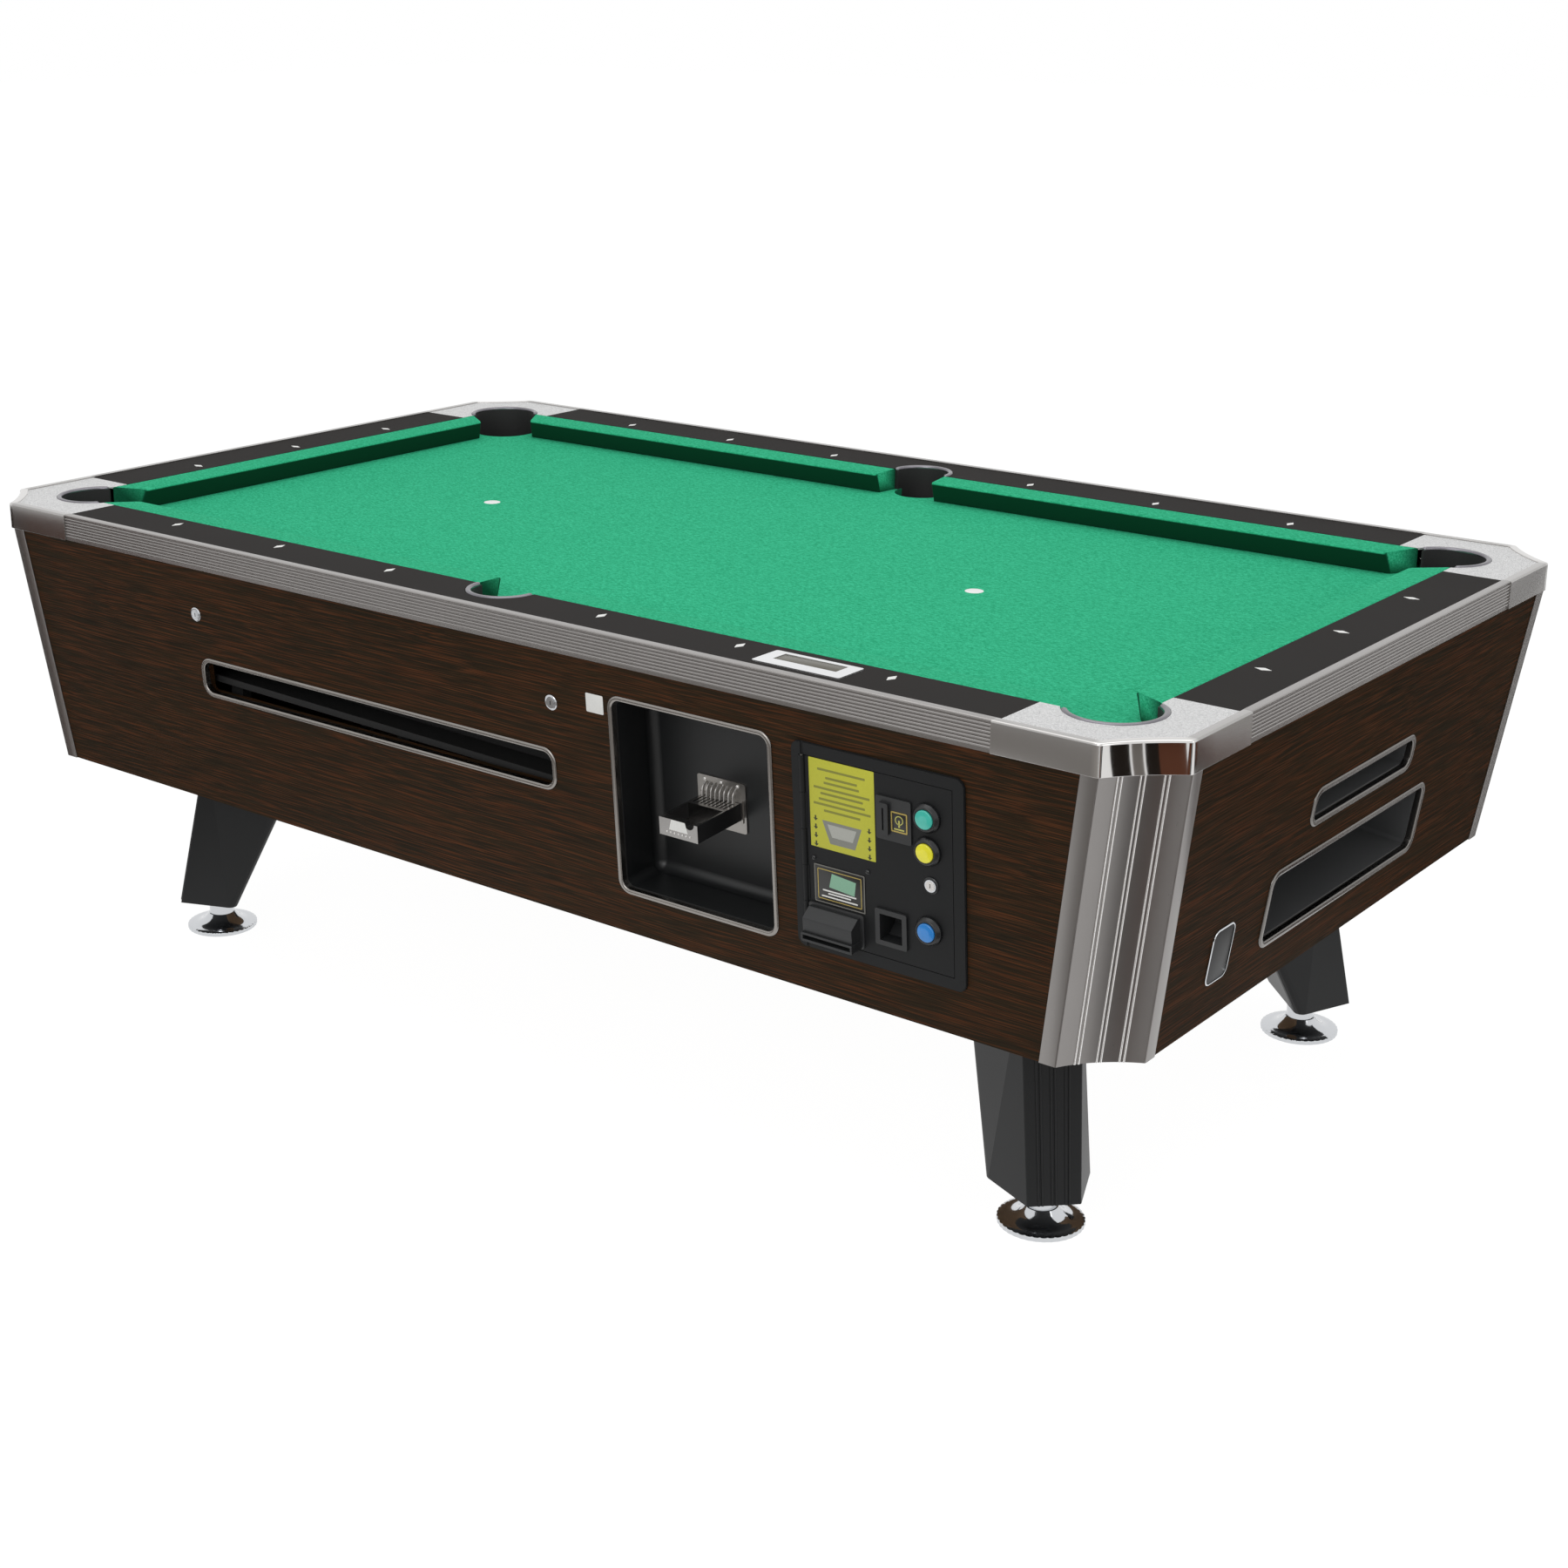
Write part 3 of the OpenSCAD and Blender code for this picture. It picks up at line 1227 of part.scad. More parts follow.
front_panel();
back_panel();
head_panel();
foot_panel();
cabinet_floor();
corner_blocks();
corner_posts();
corner_castings();
corner_plates();
side_trims();
end_trims();
side_rails();
end_rails();
side_cushions();
end_cushions();
rail_sights();
slate();
playfield_cloth();
slate_frame();
corner_pocket_liners();
side_pocket_liners();
corner_pocket_rims();
side_pocket_rims();
pocket_boots();
ball_runways();
transfer_runway();
return_runway();
ball_storage_tray();
ball_gate();
slot_trim();
coin_bay_liner();
coin_bay_trim();
coin_slide_plate();
coin_tray();
cash_box();
control_frame();
control_door();
door_hinge_pin();
coin_entry();
coin_return_cup();
bill_acceptor();
button_bezels();
door_lock_body();
start_button();
select_button();
reject_button();
lock_bodies();
door_lock_plug();
left_lock_plug();
right_lock_plug();
rail_display();
foot_trims();
shelf_liner();
ball_return_tray();
legs();
leg_bolts();
leveler_front_foot();
leveler_front_head();
leveler_back_foot();
leveler_back_head();
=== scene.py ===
"""Coin-operated pool table, dressed for its photograph.

All sizes are millimetres and turn into metres where a mesh is made. X runs along the table towards the
foot end, the coin side faces -Y, and the floor is at Z 0.
"""

import math

import bmesh
import bpy
import numpy as np
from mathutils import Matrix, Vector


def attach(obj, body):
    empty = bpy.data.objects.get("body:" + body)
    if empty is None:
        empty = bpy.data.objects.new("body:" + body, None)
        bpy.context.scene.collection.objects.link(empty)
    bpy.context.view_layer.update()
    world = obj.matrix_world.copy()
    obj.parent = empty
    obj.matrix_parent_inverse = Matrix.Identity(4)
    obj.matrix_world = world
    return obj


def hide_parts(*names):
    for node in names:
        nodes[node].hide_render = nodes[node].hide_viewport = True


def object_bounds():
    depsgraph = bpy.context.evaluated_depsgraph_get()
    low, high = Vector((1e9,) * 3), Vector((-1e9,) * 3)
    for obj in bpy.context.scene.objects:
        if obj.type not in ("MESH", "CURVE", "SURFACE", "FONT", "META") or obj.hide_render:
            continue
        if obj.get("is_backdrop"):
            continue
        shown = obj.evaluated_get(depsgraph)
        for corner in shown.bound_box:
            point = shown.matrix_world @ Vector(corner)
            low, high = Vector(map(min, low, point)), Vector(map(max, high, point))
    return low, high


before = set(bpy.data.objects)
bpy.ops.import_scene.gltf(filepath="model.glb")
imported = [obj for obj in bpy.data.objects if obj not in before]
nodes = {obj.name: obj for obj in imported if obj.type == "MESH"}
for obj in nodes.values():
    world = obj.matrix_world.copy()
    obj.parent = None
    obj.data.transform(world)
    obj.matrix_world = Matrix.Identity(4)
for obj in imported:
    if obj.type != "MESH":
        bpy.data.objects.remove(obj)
cad_low, cad_high = (np.array(c) * 1000 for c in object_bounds())
half_l, half_w, table_h = float(cad_high[0]), float(cad_high[1]), float(cad_high[2])

# Camera
# A portrait lens on a tripod, off the near foot corner and above the rails. The film is shifted
# a little, as in the photograph, so that the table fills the square frame.
lens = bpy.data.cameras.new("camera")
lens.sensor_width, lens.lens = 36, 55.378
lens.shift_x, lens.shift_y = 0.04656, -0.05922
camera = bpy.data.objects.new("camera", lens)
camera.location = (2.4769, -3.1445, 1.7353)
camera.rotation_euler = (math.pi / 2 - 0.2924, 0, 0.677)
bpy.context.scene.collection.objects.link(camera)
bpy.context.scene.camera = camera
bpy.context.scene.view_settings.view_transform = "Standard"

# Studio
# White paper sweep on the floor and white walls all round, a wide soft box overhead and two
# smaller ones beside the camera. The paper keeps a pale shadow under the cabinet.


def linear(code, gain=1.0, lift=0.0):
    """Scene-linear colour of an sRGB hex code: its curve undone channel by channel, times gain, plus lift."""
    c = np.array([int(code[i:i + 2], 16) for i in (0, 2, 4)]) / 255
    c = np.where(c <= 0.04045, c / 12.92, ((c + 0.055) / 1.055) ** 2.4)
    return (*(c * gain + lift).tolist(), 1.0)


def add(tree, kind, settings=None, **inputs):
    """Add a node with its settings. An input is a value, a colour code, a socket or a node's first output."""
    node = tree.nodes.new("ShaderNode" + kind)
    for key, value in (settings or {}).items():
        setattr(node, key, value)
    for key, value in inputs.items():
        socket = node.inputs[int(key[1:])] if key[1:].isdigit() else node.inputs[key.replace("_", " ")]
        if isinstance(value, bpy.types.Node):
            value = value.outputs[0]
        if isinstance(value, str):
            value = linear(value)
        if isinstance(value, bpy.types.NodeSocket):
            tree.links.new(value, socket)
        else:
            socket.default_value = value
    return node


def blank(name):
    """New material with an empty node tree."""
    made = bpy.data.materials.new(name)
    made.use_nodes = True
    made.node_tree.nodes.clear()
    return made, made.node_tree


def seen_directly(tree):
    """One where the ray comes from the camera, a mirror or glass, and nought for scattered light."""
    path = add(tree, "LightPath").outputs
    some = add(tree, "Math", {"operation": "MAXIMUM"}, i0=path["Is Camera Ray"], i1=path["Is Glossy Ray"])
    return add(tree, "Math", {"operation": "MAXIMUM"}, i0=some, i1=path["Is Transmission Ray"])


def placed(name, mesh, finish):
    """Object in the scene for a mesh with one material."""
    mesh.materials.append(finish)
    made = bpy.data.objects.new(name, mesh)
    bpy.context.scene.collection.objects.link(made)
    return made


def mirrored(grid, axes):
    """The grid and its mirror images on the other sides of the table, in x, in y or in both."""
    signs = [(1, -1) if axis in axes else (1,) for axis in "xy"]
    return [grid * (sx, sy, 1) for sx in signs[0] for sy in signs[1]]


wall_light, paper_glow, paper_shade = 0.46, 0.97, 0.11
world = bpy.data.worlds.new("studio")
world.use_nodes = True
tree = world.node_tree
tree.nodes.clear()
strength = add(tree, "MapRange", Value=seen_directly(tree), To_Min=wall_light, To_Max=1.0)
add(tree, "OutputWorld", Surface=add(tree, "Background", Color=(1, 1, 1, 1), Strength=strength))
bpy.context.scene.world = world

paper, tree = blank("white_paper_sweep")
matt = add(tree, "BsdfDiffuse", Color="E8E8E8")
glow = add(tree, "Emission", Color=(1, 1, 1, 1), Strength=paper_glow)
dim = add(tree, "BsdfDiffuse", Color=(paper_shade, paper_shade, paper_shade, 1))
both = add(tree, "MixShader", Fac=seen_directly(tree), i1=matt, i2=add(tree, "AddShader", i0=glow, i1=dim))
add(tree, "OutputMaterial", Surface=both)
sweep = bpy.data.meshes.new("floor")
reach, drop = 30.0, -0.0005
sweep.from_pydata([(x * reach, y * reach, drop) for x, y in ((-1, -1), (1, -1), (1, 1), (-1, 1))], [],
                  [(0, 1, 2, 3)])
placed("floor", sweep, paper)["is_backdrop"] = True

soft_boxes = {
    "overhead": ((0.0, 0.0, 4.4), (5.0, 3.4), 62),
    "camera_side": ((1.2, -5.2, 2.9), (3.2, 2.0), 62),
    "foot_side": ((5.2, -0.6, 2.6), (2.0, 2.4), 16),
}
for name, (place, size, watts) in soft_boxes.items():
    lamp = bpy.data.lights.new(name, "AREA")
    lamp.shape, lamp.size, lamp.size_y, lamp.energy = "RECTANGLE", *size, watts
    stand = bpy.data.objects.new(name, lamp)
    stand.location = place
    aim = -np.array(place) + (0, 0, 0.6)
    across, down = math.atan2(aim[1], aim[0]), math.hypot(aim[0], aim[1])
    stand.rotation_euler = (math.atan2(down, -aim[2]), 0, across - math.pi / 2)
    stand.visible_camera = False
    bpy.context.scene.collection.objects.link(stand)

# Grey, brown and black flags lie on the paper and fan out from under each corner, seen in polished
# metal alone, so that chrome and brushed aluminium get the bands of a studio. Angles are in degrees
# from the long side.
flag_near, flag_far, flag_z = 0.12, 5.6, 0.004
flag_angles = {"8A8580": ((22, 27), (50, 56)), "A8A4A0": ((61, 66), (76, 130)), "6B4434": ((34, 46),),
               "2B2622": ((12, 21), (28, 34), (68, 72))}
for tone, wedges in flag_angles.items():
    turn = np.radians(wedges)[:, [0, 1, 1, 0]]
    away = np.array([flag_near, flag_near, flag_far, flag_far])
    wedge = np.stack([away * np.cos(turn), away * np.sin(turn), np.full(turn.shape, flag_z)], -1)
    spots = np.concatenate(mirrored(wedge + (half_l / 1000, half_w / 1000, 0), "xy"))
    velvet, tree = blank("flag_cloth_" + tone)
    add(tree, "OutputMaterial", Surface=add(tree, "BsdfDiffuse", Color=tone))
    cards = bpy.data.meshes.new("flags_" + tone)
    cards.from_pydata(spots.reshape(-1, 3), [], np.arange(len(spots) * 4).reshape(-1, 4).tolist())
    flags = placed("flags_" + tone, cards, velvet)
    flags.visible_camera = flags.visible_diffuse = flags.visible_shadow = flags.visible_transmission = False
    flags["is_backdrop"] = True

# Levelling feet
# Turned steel feet with a milled rim, chromium plated: a disc, a hollow cone, a thick stem, and
# the screw that goes up into the leg.


def quads(rows, cols, wrap_rows, wrap_cols):
    """Corner numbers of a grid's quads; a wrapped direction joins its last line to its first."""
    r = np.arange(rows if wrap_rows else rows - 1)[:, None]
    c = np.arange(cols if wrap_cols else cols - 1)[None, :]
    r1, c1 = (r + 1) % rows, (c + 1) % cols
    corners = [r * cols + c, r * cols + c1, r1 * cols + c1, r1 * cols + c]
    return np.stack(np.broadcast_arrays(*corners), -1).reshape(-1, 4)


def skin(name, grids, finish, body="table", replaces=(), crease=35, how="cols ends"):
    """Mesh piece from grids of points (rows, columns, xyz): quads between neighbouring points.

    How goes for each grid that doesn't bring a word of its own: "rows" and "cols" wrap that way
    round, and "ends" fills the first and the last row with a flat face. Doubles merge, faces turn
    outwards, and edges sharper than the crease angle stay sharp.
    """
    points, faces, first = [], [], 0
    for grid in grids:
        grid, wraps = grid if isinstance(grid, tuple) else (grid, how)
        rows, cols = grid.shape[:2]
        points.append(grid.reshape(-1, 3))
        faces += (quads(rows, cols, "rows" in wraps, "cols" in wraps) + first).tolist()
        if "ends" in wraps:
            faces += [list(range(first + row * cols, first + (row + 1) * cols)) for row in (0, rows - 1)]
        first += rows * cols
    mesh = bpy.data.meshes.new(name)
    mesh.from_pydata(np.concatenate(points) / 1000, [], faces)
    work = bmesh.new()
    work.from_mesh(mesh)
    bmesh.ops.remove_doubles(work, verts=work.verts, dist=2e-6)
    bmesh.ops.recalc_face_normals(work, faces=work.faces)
    work.to_mesh(mesh)
    work.free()
    mesh.shade_smooth()
    mesh.set_sharp_from_angle(angle=math.radians(crease))
    piece = placed(name, mesh, finish)
    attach(piece, body)
    if replaces:
        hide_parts(*replaces)
    return piece


def coat(name, tones, grain, rough, bump=None, fine=None, gain=None, lift=0.0, **more):
    """Material with a pattern in Object coordinates that mixes its tones and spreads its roughness.

    A pattern is (scale, detail) for noise or (scale, None) for cells, with the scale in cells a
    metre; three numbers stretch it. Tones are two hex codes, or one, whose second tone is its gain
    and lift. Roughness is a number or (low, high), and bump is (strength, distance). A second, fine
    pattern lifts the surface, or spreads the roughness where there is no bump.
    """
    made, tree = blank(name)
    where = add(tree, "TexCoord").outputs["Object"]
    layers = []
    for scale, detail in [grain] + [fine] * bool(fine):
        plain = not isinstance(scale, tuple)
        drawn = where if plain else add(tree, "Mapping", Vector=where, Scale=scale)
        size = {"Detail": detail} if detail else {}
        layers.append(add(tree, "TexNoise" if detail else "TexVoronoi", Vector=drawn,
                          Scale=scale if plain else 1.0, **size))
    ends = tones.split()
    if gain:
        ends.append(linear(tones, gain, lift))
    parts = {"Base_Color": ends[0]}
    if len(ends) > 1:
        parts["Base_Color"] = add(tree, "MixRGB", Fac=layers[0], Color1=ends[0], Color2=ends[1])
    if isinstance(rough, tuple):
        rough = add(tree, "MapRange", Value=layers[0 if bump else -1], To_Min=rough[0], To_Max=rough[1])
    if bump:
        parts["Normal"] = add(tree, "Bump", Strength=bump[0], Distance=bump[1], Height=layers[-1])
    add(tree, "OutputMaterial", Surface=add(tree, "BsdfPrincipled", Roughness=rough, **parts, **more))
    return made


def circle(turn):
    """Points of the unit circle at the given angles."""
    return np.stack([np.cos(turn), np.sin(turn)], -1)


def lathe(profile, steps=64, wave=None):
    """Grid of a profile (radius, height) turned round the Z axis; wave adds to the radius by the angle."""
    turn = np.arange(steps) * 2 * np.pi / steps
    radius, height = np.array(profile, float).T
    radius = np.broadcast_to(radius, (steps, len(radius)))
    if wave is not None:
        radius = radius + wave(turn)
    return np.dstack([radius[..., None] * circle(turn)[:, None], np.broadcast_to(height, radius.shape)])


# Chromium plate on turned steel: a near mirror, a trace of blue, faint turning marks
chrome = coat("chromium_plated_steel", "C9CBCE", (60, 3), (0.05, 0.13), Metallic=1.0)

foot_x, foot_y = 897, 419
disc_r, rim_h, cone_h, stem_r, stem_top = 64, 7, 27, 22.5, 61.7
screw_r, screw_top, grooves, groove_deep = 10, 110, 36, 1.1
swell = np.linspace(0, 1, 9)
cone = np.stack([disc_r - 7 + (stem_r + 2 - disc_r + 7) * swell,
                 rim_h + 1 + (cone_h - rim_h - 1) * swell ** 2.6], -1)
foot_line = np.concatenate([
    [(0, 0), (disc_r - 1.2, 0), (disc_r - 0.3, 0.3), (disc_r, 1.2), (disc_r, rim_h - 1.2),
     (disc_r - 0.4, rim_h - 0.3), (disc_r - 1.4, rim_h)], cone,
    [(stem_r, cone_h + 0.4), (stem_r, stem_top - 1), (stem_r - 1, stem_top), (screw_r, stem_top),
     (screw_r, screw_top), (0, screw_top)]])
on_rim = (foot_line[:, 0] > disc_r - 0.5)[None, :]


def milled(turn):
    """Round-bottomed grooves in the rim: a cosine raised to a power, cut inwards."""
    return -groove_deep * on_rim * (0.5 + 0.5 * np.cos(turn * grooves)[:, None]) ** 2


for x, y, name in [(1, -1, "front_foot"), (-1, -1, "front_head"), (1, 1, "back_foot"), (-1, 1, "back_head")]:
    foot = lathe(foot_line, grooves * 8, milled) + (x * foot_x, y * foot_y, 0)
    skin("foot_" + name, [foot], chrome, "leveler_" + name, ["leveler_" + name], 32, "rows")

# Legs
# Heavy tapered legs of moulded board with the ribs of the posts run down their outer face, painted
# satin black with a slight orange peel, and bolted through the cabinet floor.


def dress(finish, *names):
    """Give pieces of the frame a finish in all their slots."""
    for name in names:
        slots = nodes[name].data.materials
        if not slots:
            slots.append(finish)
        for i in range(len(slots)):
            slots[i] = finish


black_paint = coat("satin_black_enamel", "131415 191A1B", (5, 4), (0.38, 0.48), (0.12, 0.0004), (420, 2),
                   Specular_IOR_Level=0.3)
dress(black_paint, "legs")

# Cabinet
# Boards covered in a dark wenge-pattern laminate, with the figure running along each wall, on a
# plain particle-board floor with softwood blocks in the corners.
streak_mm, fibre_mm, flame_mm = 1.6, 0.8, 60


def wenge(name, along_y, gloss):
    """Wenge laminate: thin red-brown streaks and black fibres drawn out along the board, in slow clouds."""
    made, tree = blank(name)
    turned = add(tree, "Mapping", Vector=add(tree, "TexCoord").outputs["Object"],
                 Rotation=(0, 0, math.pi / 2 if along_y else 0))
    slow = add(tree, "Mapping", Vector=turned, Scale=(2.2, 2.2, 6))
    sway = add(tree, "TexNoise", Vector=slow, Scale=1.0, Detail=2.0)
    bend = add(tree, "VectorMath", {"operation": "SCALE"}, i0=sway.outputs["Color"], Scale=0.014)
    moved = add(tree, "VectorMath", {"operation": "ADD"}, i0=turned, i1=bend)
    layers = []
    for size, stretch, detail in ((flame_mm, 9, 3.0), (streak_mm, 70, 2.0), (fibre_mm, 110, 2.0)):
        per_metre = 1000 / size
        drawn = add(tree, "Mapping", Vector=moved, Scale=(per_metre / stretch, per_metre, per_metre))
        layers.append(add(tree, "TexNoise", Vector=drawn, Scale=1.0, Detail=detail))
    flame = add(tree, "MapRange", Value=layers[0], From_Min=0.38, From_Max=0.66)
    streak = add(tree, "MapRange", Value=layers[1], From_Min=0.48, From_Max=0.66)
    fibre = add(tree, "MapRange", Value=layers[2], From_Min=0.36, From_Max=0.62)
    ground = add(tree, "MixRGB", Fac=flame, Color1="281F12", Color2="2F2212")
    red = add(tree, "MixRGB", Fac=streak, Color1=ground, Color2="543019")
    shade = add(tree, "MapRange", Value=fibre, To_Min=0.42, To_Max=1.15)
    dark = add(tree, "MixRGB", {"blend_type": "MULTIPLY"}, Fac=0.75, Color1=red, Color2=shade)
    rough = add(tree, "MapRange", Value=layers[2], To_Min=0.62, To_Max=0.5)
    bump = add(tree, "Bump", Strength=0.2, Distance=0.0002, Height=fibre)
    add(tree, "OutputMaterial", Surface=add(tree, "BsdfPrincipled", Base_Color=dark, Roughness=rough,
                                            Specular_IOR_Level=gloss, Normal=bump))
    return made


dress(wenge("wenge_laminate_long", False, 0.09), "front_panel", "back_panel")
dress(wenge("wenge_laminate_end", True, 0.02), "head_panel", "foot_panel")

# Particle board and softwood: pale, chips and rings of a few millimetres
dress(coat("raw_particle_board", "7A6048 A3876A", (260, None), 0.85), "cabinet_floor")
dress(coat("planed_softwood", "8C6A45 C09A6C", ((8, 120, 120), 3), 0.7), "corner_blocks", "slate_frame")

# Corner posts
# One extruded section of satin anodised aluminium per corner: a shallow hollow face and two wings
# on the boards. Three pairs of beads, cut bright, run up the face. It leans outwards with both walls.
z_cab, z_trim = 364, 783
long_y, long_lean, end_x, end_lean = 634, 32, 1117, 60
corner_cut, post_sag, post_t, post_wing = 84, 9, 2.5, 24
bead_r, bead_gap, bead_pairs, post_short = 1.4, 5.6, 3, 0.3


def bent(points, radii, steps=6):
    """Line through points with its corners rounded: each becomes an arc between its tangent points."""
    out = []
    points = np.array(points, float)
    for i, (p, r) in enumerate(zip(points, radii)):
        if r <= 0:
            out.append(p[None])
            continue
        a, b = points[i - 1] - p, points[(i + 1) % len(points)] - p
        a, b = a / np.linalg.norm(a), b / np.linalg.norm(b)
        half = math.acos(float(a @ b)) / 2
        middle = p + (a + b) / np.linalg.norm(a + b) * r / math.sin(half)
        start, end = p + a * r / math.tan(half) - middle, p + b * r / math.tan(half) - middle
        from_, to = math.atan2(start[1], start[0]), math.atan2(end[1], end[0])
        to = from_ + (to - from_ + np.pi) % (2 * np.pi) - np.pi
        turn = np.linspace(from_, to, steps + 1)
        out.append(middle + r * circle(turn))
    return np.concatenate(out)


def level(line, z):
    """Plan line put at one height."""
    return np.column_stack([line, np.full(len(line), z)])


def satin(name, along, tone, rough_low, rough_high):
    """Satin aluminium: soft grey metal with drawn lines along one axis, 117 times longer than wide."""
    fine = tuple(6 if axis == along else 700 for axis in "xyz")
    return coat(name, tone, (9, 3), (rough_low, rough_high), fine=(fine, 2), gain=1.1, Metallic=1.0)


def hollow(cut, sag, inset, steps):
    """Arc across a cut corner, from one wall line to the other, bowed inwards by sag.

    The origin is where the wall lines meet. The arc's centre lies outside on the diagonal, and the
    inset makes its radius larger, so that the arc moves inwards.
    """
    chord = cut / math.sqrt(2)
    radius = chord * chord / (2 * sag) + sag / 2
    centre = radius - chord - sag
    wide, k = radius + inset, centre + math.sqrt(2) * inset
    first = (k - math.sqrt(2 * wide * wide - k * k)) / 2
    across = first - 2 * first * steps
    deep = centre - np.sqrt(wide * wide - across ** 2)
    return np.stack([across + deep, deep - across], -1) / math.sqrt(2)


chord = corner_cut * math.sqrt(2)
pair_at = np.arange(1, bead_pairs + 1) / (bead_pairs + 1)
bead_at = [middle + s * bead_gap / 2 / chord for middle in pair_at for s in (-1, 1)]
half_turn = np.linspace(-np.pi / 2, np.pi / 2, 9)
face = hollow(corner_cut, post_sag, -post_t, np.linspace(0, 1, 41))
wing = corner_cut + post_wing
edge_a = bent([(-wing, 0), (-wing, post_t), (*face[0],), (*face[1],)], [0, 1.2, 2.4, 0], 4)[:-1]
edge_b = bent([(*face[-2],), (*face[-1],), (post_t, -wing), (0, -wing)], [0, 2.4, 1.2, 0], 4)[1:]
back = hollow(corner_cut, post_sag, 0, np.linspace(1, 0, 21))
section = np.concatenate([edge_a, face[1:-1], edge_b, back])
heights = np.linspace(z_cab, z_trim - post_short, 5)
part = (heights - z_cab) / (z_trim - z_cab)


def up_post(plan):
    """Carry a plan section up the leaning corner edge of the cabinet, into all four corners."""
    corner = [level(plan + (end_x + end_lean * p, long_y + long_lean * p), z) for p, z in zip(part, heights)]
    return mirrored(np.stack(corner), "xy")


skin("corner_post_extrusions", up_post(section), satin("satin_anodised_post", "z", "8B8886", 0.26, 0.32),
     replaces=["corner_posts"])
beads, root_in = [], 0.4
for b in bead_at:
    steps = b + np.sin(half_turn) * bead_r / chord
    crest = hollow(corner_cut, post_sag, -post_t, steps) + bead_r * np.cos(half_turn)[:, None] / math.sqrt(2)
    root = hollow(corner_cut, post_sag, root_in - post_t, steps[::-1])
    beads += up_post(np.concatenate([crest, root]))
skin("corner_post_beads", beads, satin("bright_cut_bead", "z", "F4F3F2", 0.1, 0.14))

# Corner castings and white plates
# Die-cast corners cap the rails: brushed on their arms and polished to a mirror on the hollow
# front. A white plate with a fine cast texture lies on each and rings the pocket.
lip_t, cast_t, lip_w = 2, 5, 14
cast_arm, cast_sag, cast_bend = 240, 6, 8
z_rail = table_h - lip_t


def casting_line(inset):
    """Plan line of a casting at an inset from its face: arm, bend, hollow front, bend, arm.

    The hollow is an arc about a point out on the diagonal, its radius growing with the inset. Each
    bend is an arc about the point where arm and hollow meet at the inset of the bend's radius.
    """
    chord = corner_cut / math.sqrt(2)
    radius = chord * chord / (2 * cast_sag) + cast_sag / 2
    out = (radius - chord - cast_sag) / math.sqrt(2)
    deep = max(inset, cast_bend)
    x = out - math.sqrt((radius + deep) ** 2 - (out + deep) ** 2)
    start = math.atan2(out + deep, out - x)
    turn = np.linspace(np.pi / 2, start, 9)
    bend = np.array([x, -deep]) + max(cast_bend - inset, 0.02) * circle(turn)
    turn = np.linspace(start, np.pi / 4, 21)[1:]
    arc = out - (radius + inset) * circle(turn)
    line = np.concatenate([[(-cast_arm, -inset), (-cast_arm * 0.6, -inset)], bend, arc])
    return np.concatenate([line, line[-2::-1, ::-1]])


soft = 3.2
profile = bent([(cast_t, z_trim), (0, z_trim), (0, table_h), (lip_w, table_h), (lip_w, z_rail),
                (cast_t, z_rail)], [0, 1, soft, 0.5, 0, 0])
casting = np.stack([level(casting_line(inset), z) for inset, z in profile], 1)
casting = casting + (half_l, half_w, 0)

# Cast aluminium: mirror-polished across the corner's front, brushed satin on the arms
cast_metal, tree = blank("polished_cast_aluminium")
where = add(tree, "TexCoord").outputs["Object"]
apart = add(tree, "SeparateXYZ", Vector=where)
near = []
for axis, half in (("X", half_l), ("Y", half_w)):
    far = add(tree, "Math", {"operation": "ABSOLUTE"}, i0=apart.outputs[axis])
    near.append(add(tree, "MapRange", Value=far, From_Min=(half - corner_cut - 12) / 1000,
                    From_Max=(half - corner_cut - 2) / 1000))
front_mask = add(tree, "Math", {"operation": "MULTIPLY"}, i0=near[0], i1=near[1])
drawn = add(tree, "Mapping", Vector=where, Scale=(90, 90, 1500))
lines = add(tree, "TexNoise", Vector=drawn, Scale=1.0, Detail=2.0)
brushed = add(tree, "MapRange", Value=lines, To_Min=0.19, To_Max=0.22)
rough = add(tree, "Mix", {"data_type": "FLOAT"}, Factor=front_mask, A=brushed, B=0.05)
tint = add(tree, "MixRGB", Fac=front_mask, Color1="ACAAA8", Color2="D2D0CE")
add(tree, "OutputMaterial", Surface=add(tree, "BsdfPrincipled", Base_Color=tint, Metallic=1.0,
                                        Roughness=rough))
skin("corner_casting_shells", mirrored(casting, "xy"), cast_metal,
     replaces=["corner_castings"], crease=40)

# White enamelled plate: bright, with a leather-like cast grain of a few millimetres
white_plate, tree = blank("white_textured_enamel")
where = add(tree, "TexCoord").outputs["Object"]
grain = add(tree, "TexVoronoi", Vector=where, Scale=270.0)
wide = add(tree, "TexNoise", Vector=where, Scale=600.0, Detail=2.0)
tint = add(tree, "MixRGB", Fac=grain, Color1="FFFFFF", Color2="E4E4E4")
bump = add(tree, "Bump", Strength=1.0, Distance=0.0026,
           Height=add(tree, "Math", {"operation": "ADD"}, i0=grain, i1=wide))
add(tree, "OutputMaterial", Surface=add(tree, "BsdfPrincipled", Base_Color=tint, Roughness=0.42, Normal=bump))
dress(white_plate, "corner_plates")

# Rail trims
# Ribbed aluminium extrusions close the rails' outer edges between the castings: a smooth lip on
# the rail, a rolled top edge and seven round ribs.
trim_in, rib_r, trim_web, ribs, rib_pitch, trim_gap = 1.2, 1.8, 3, 7, 5, 0.2


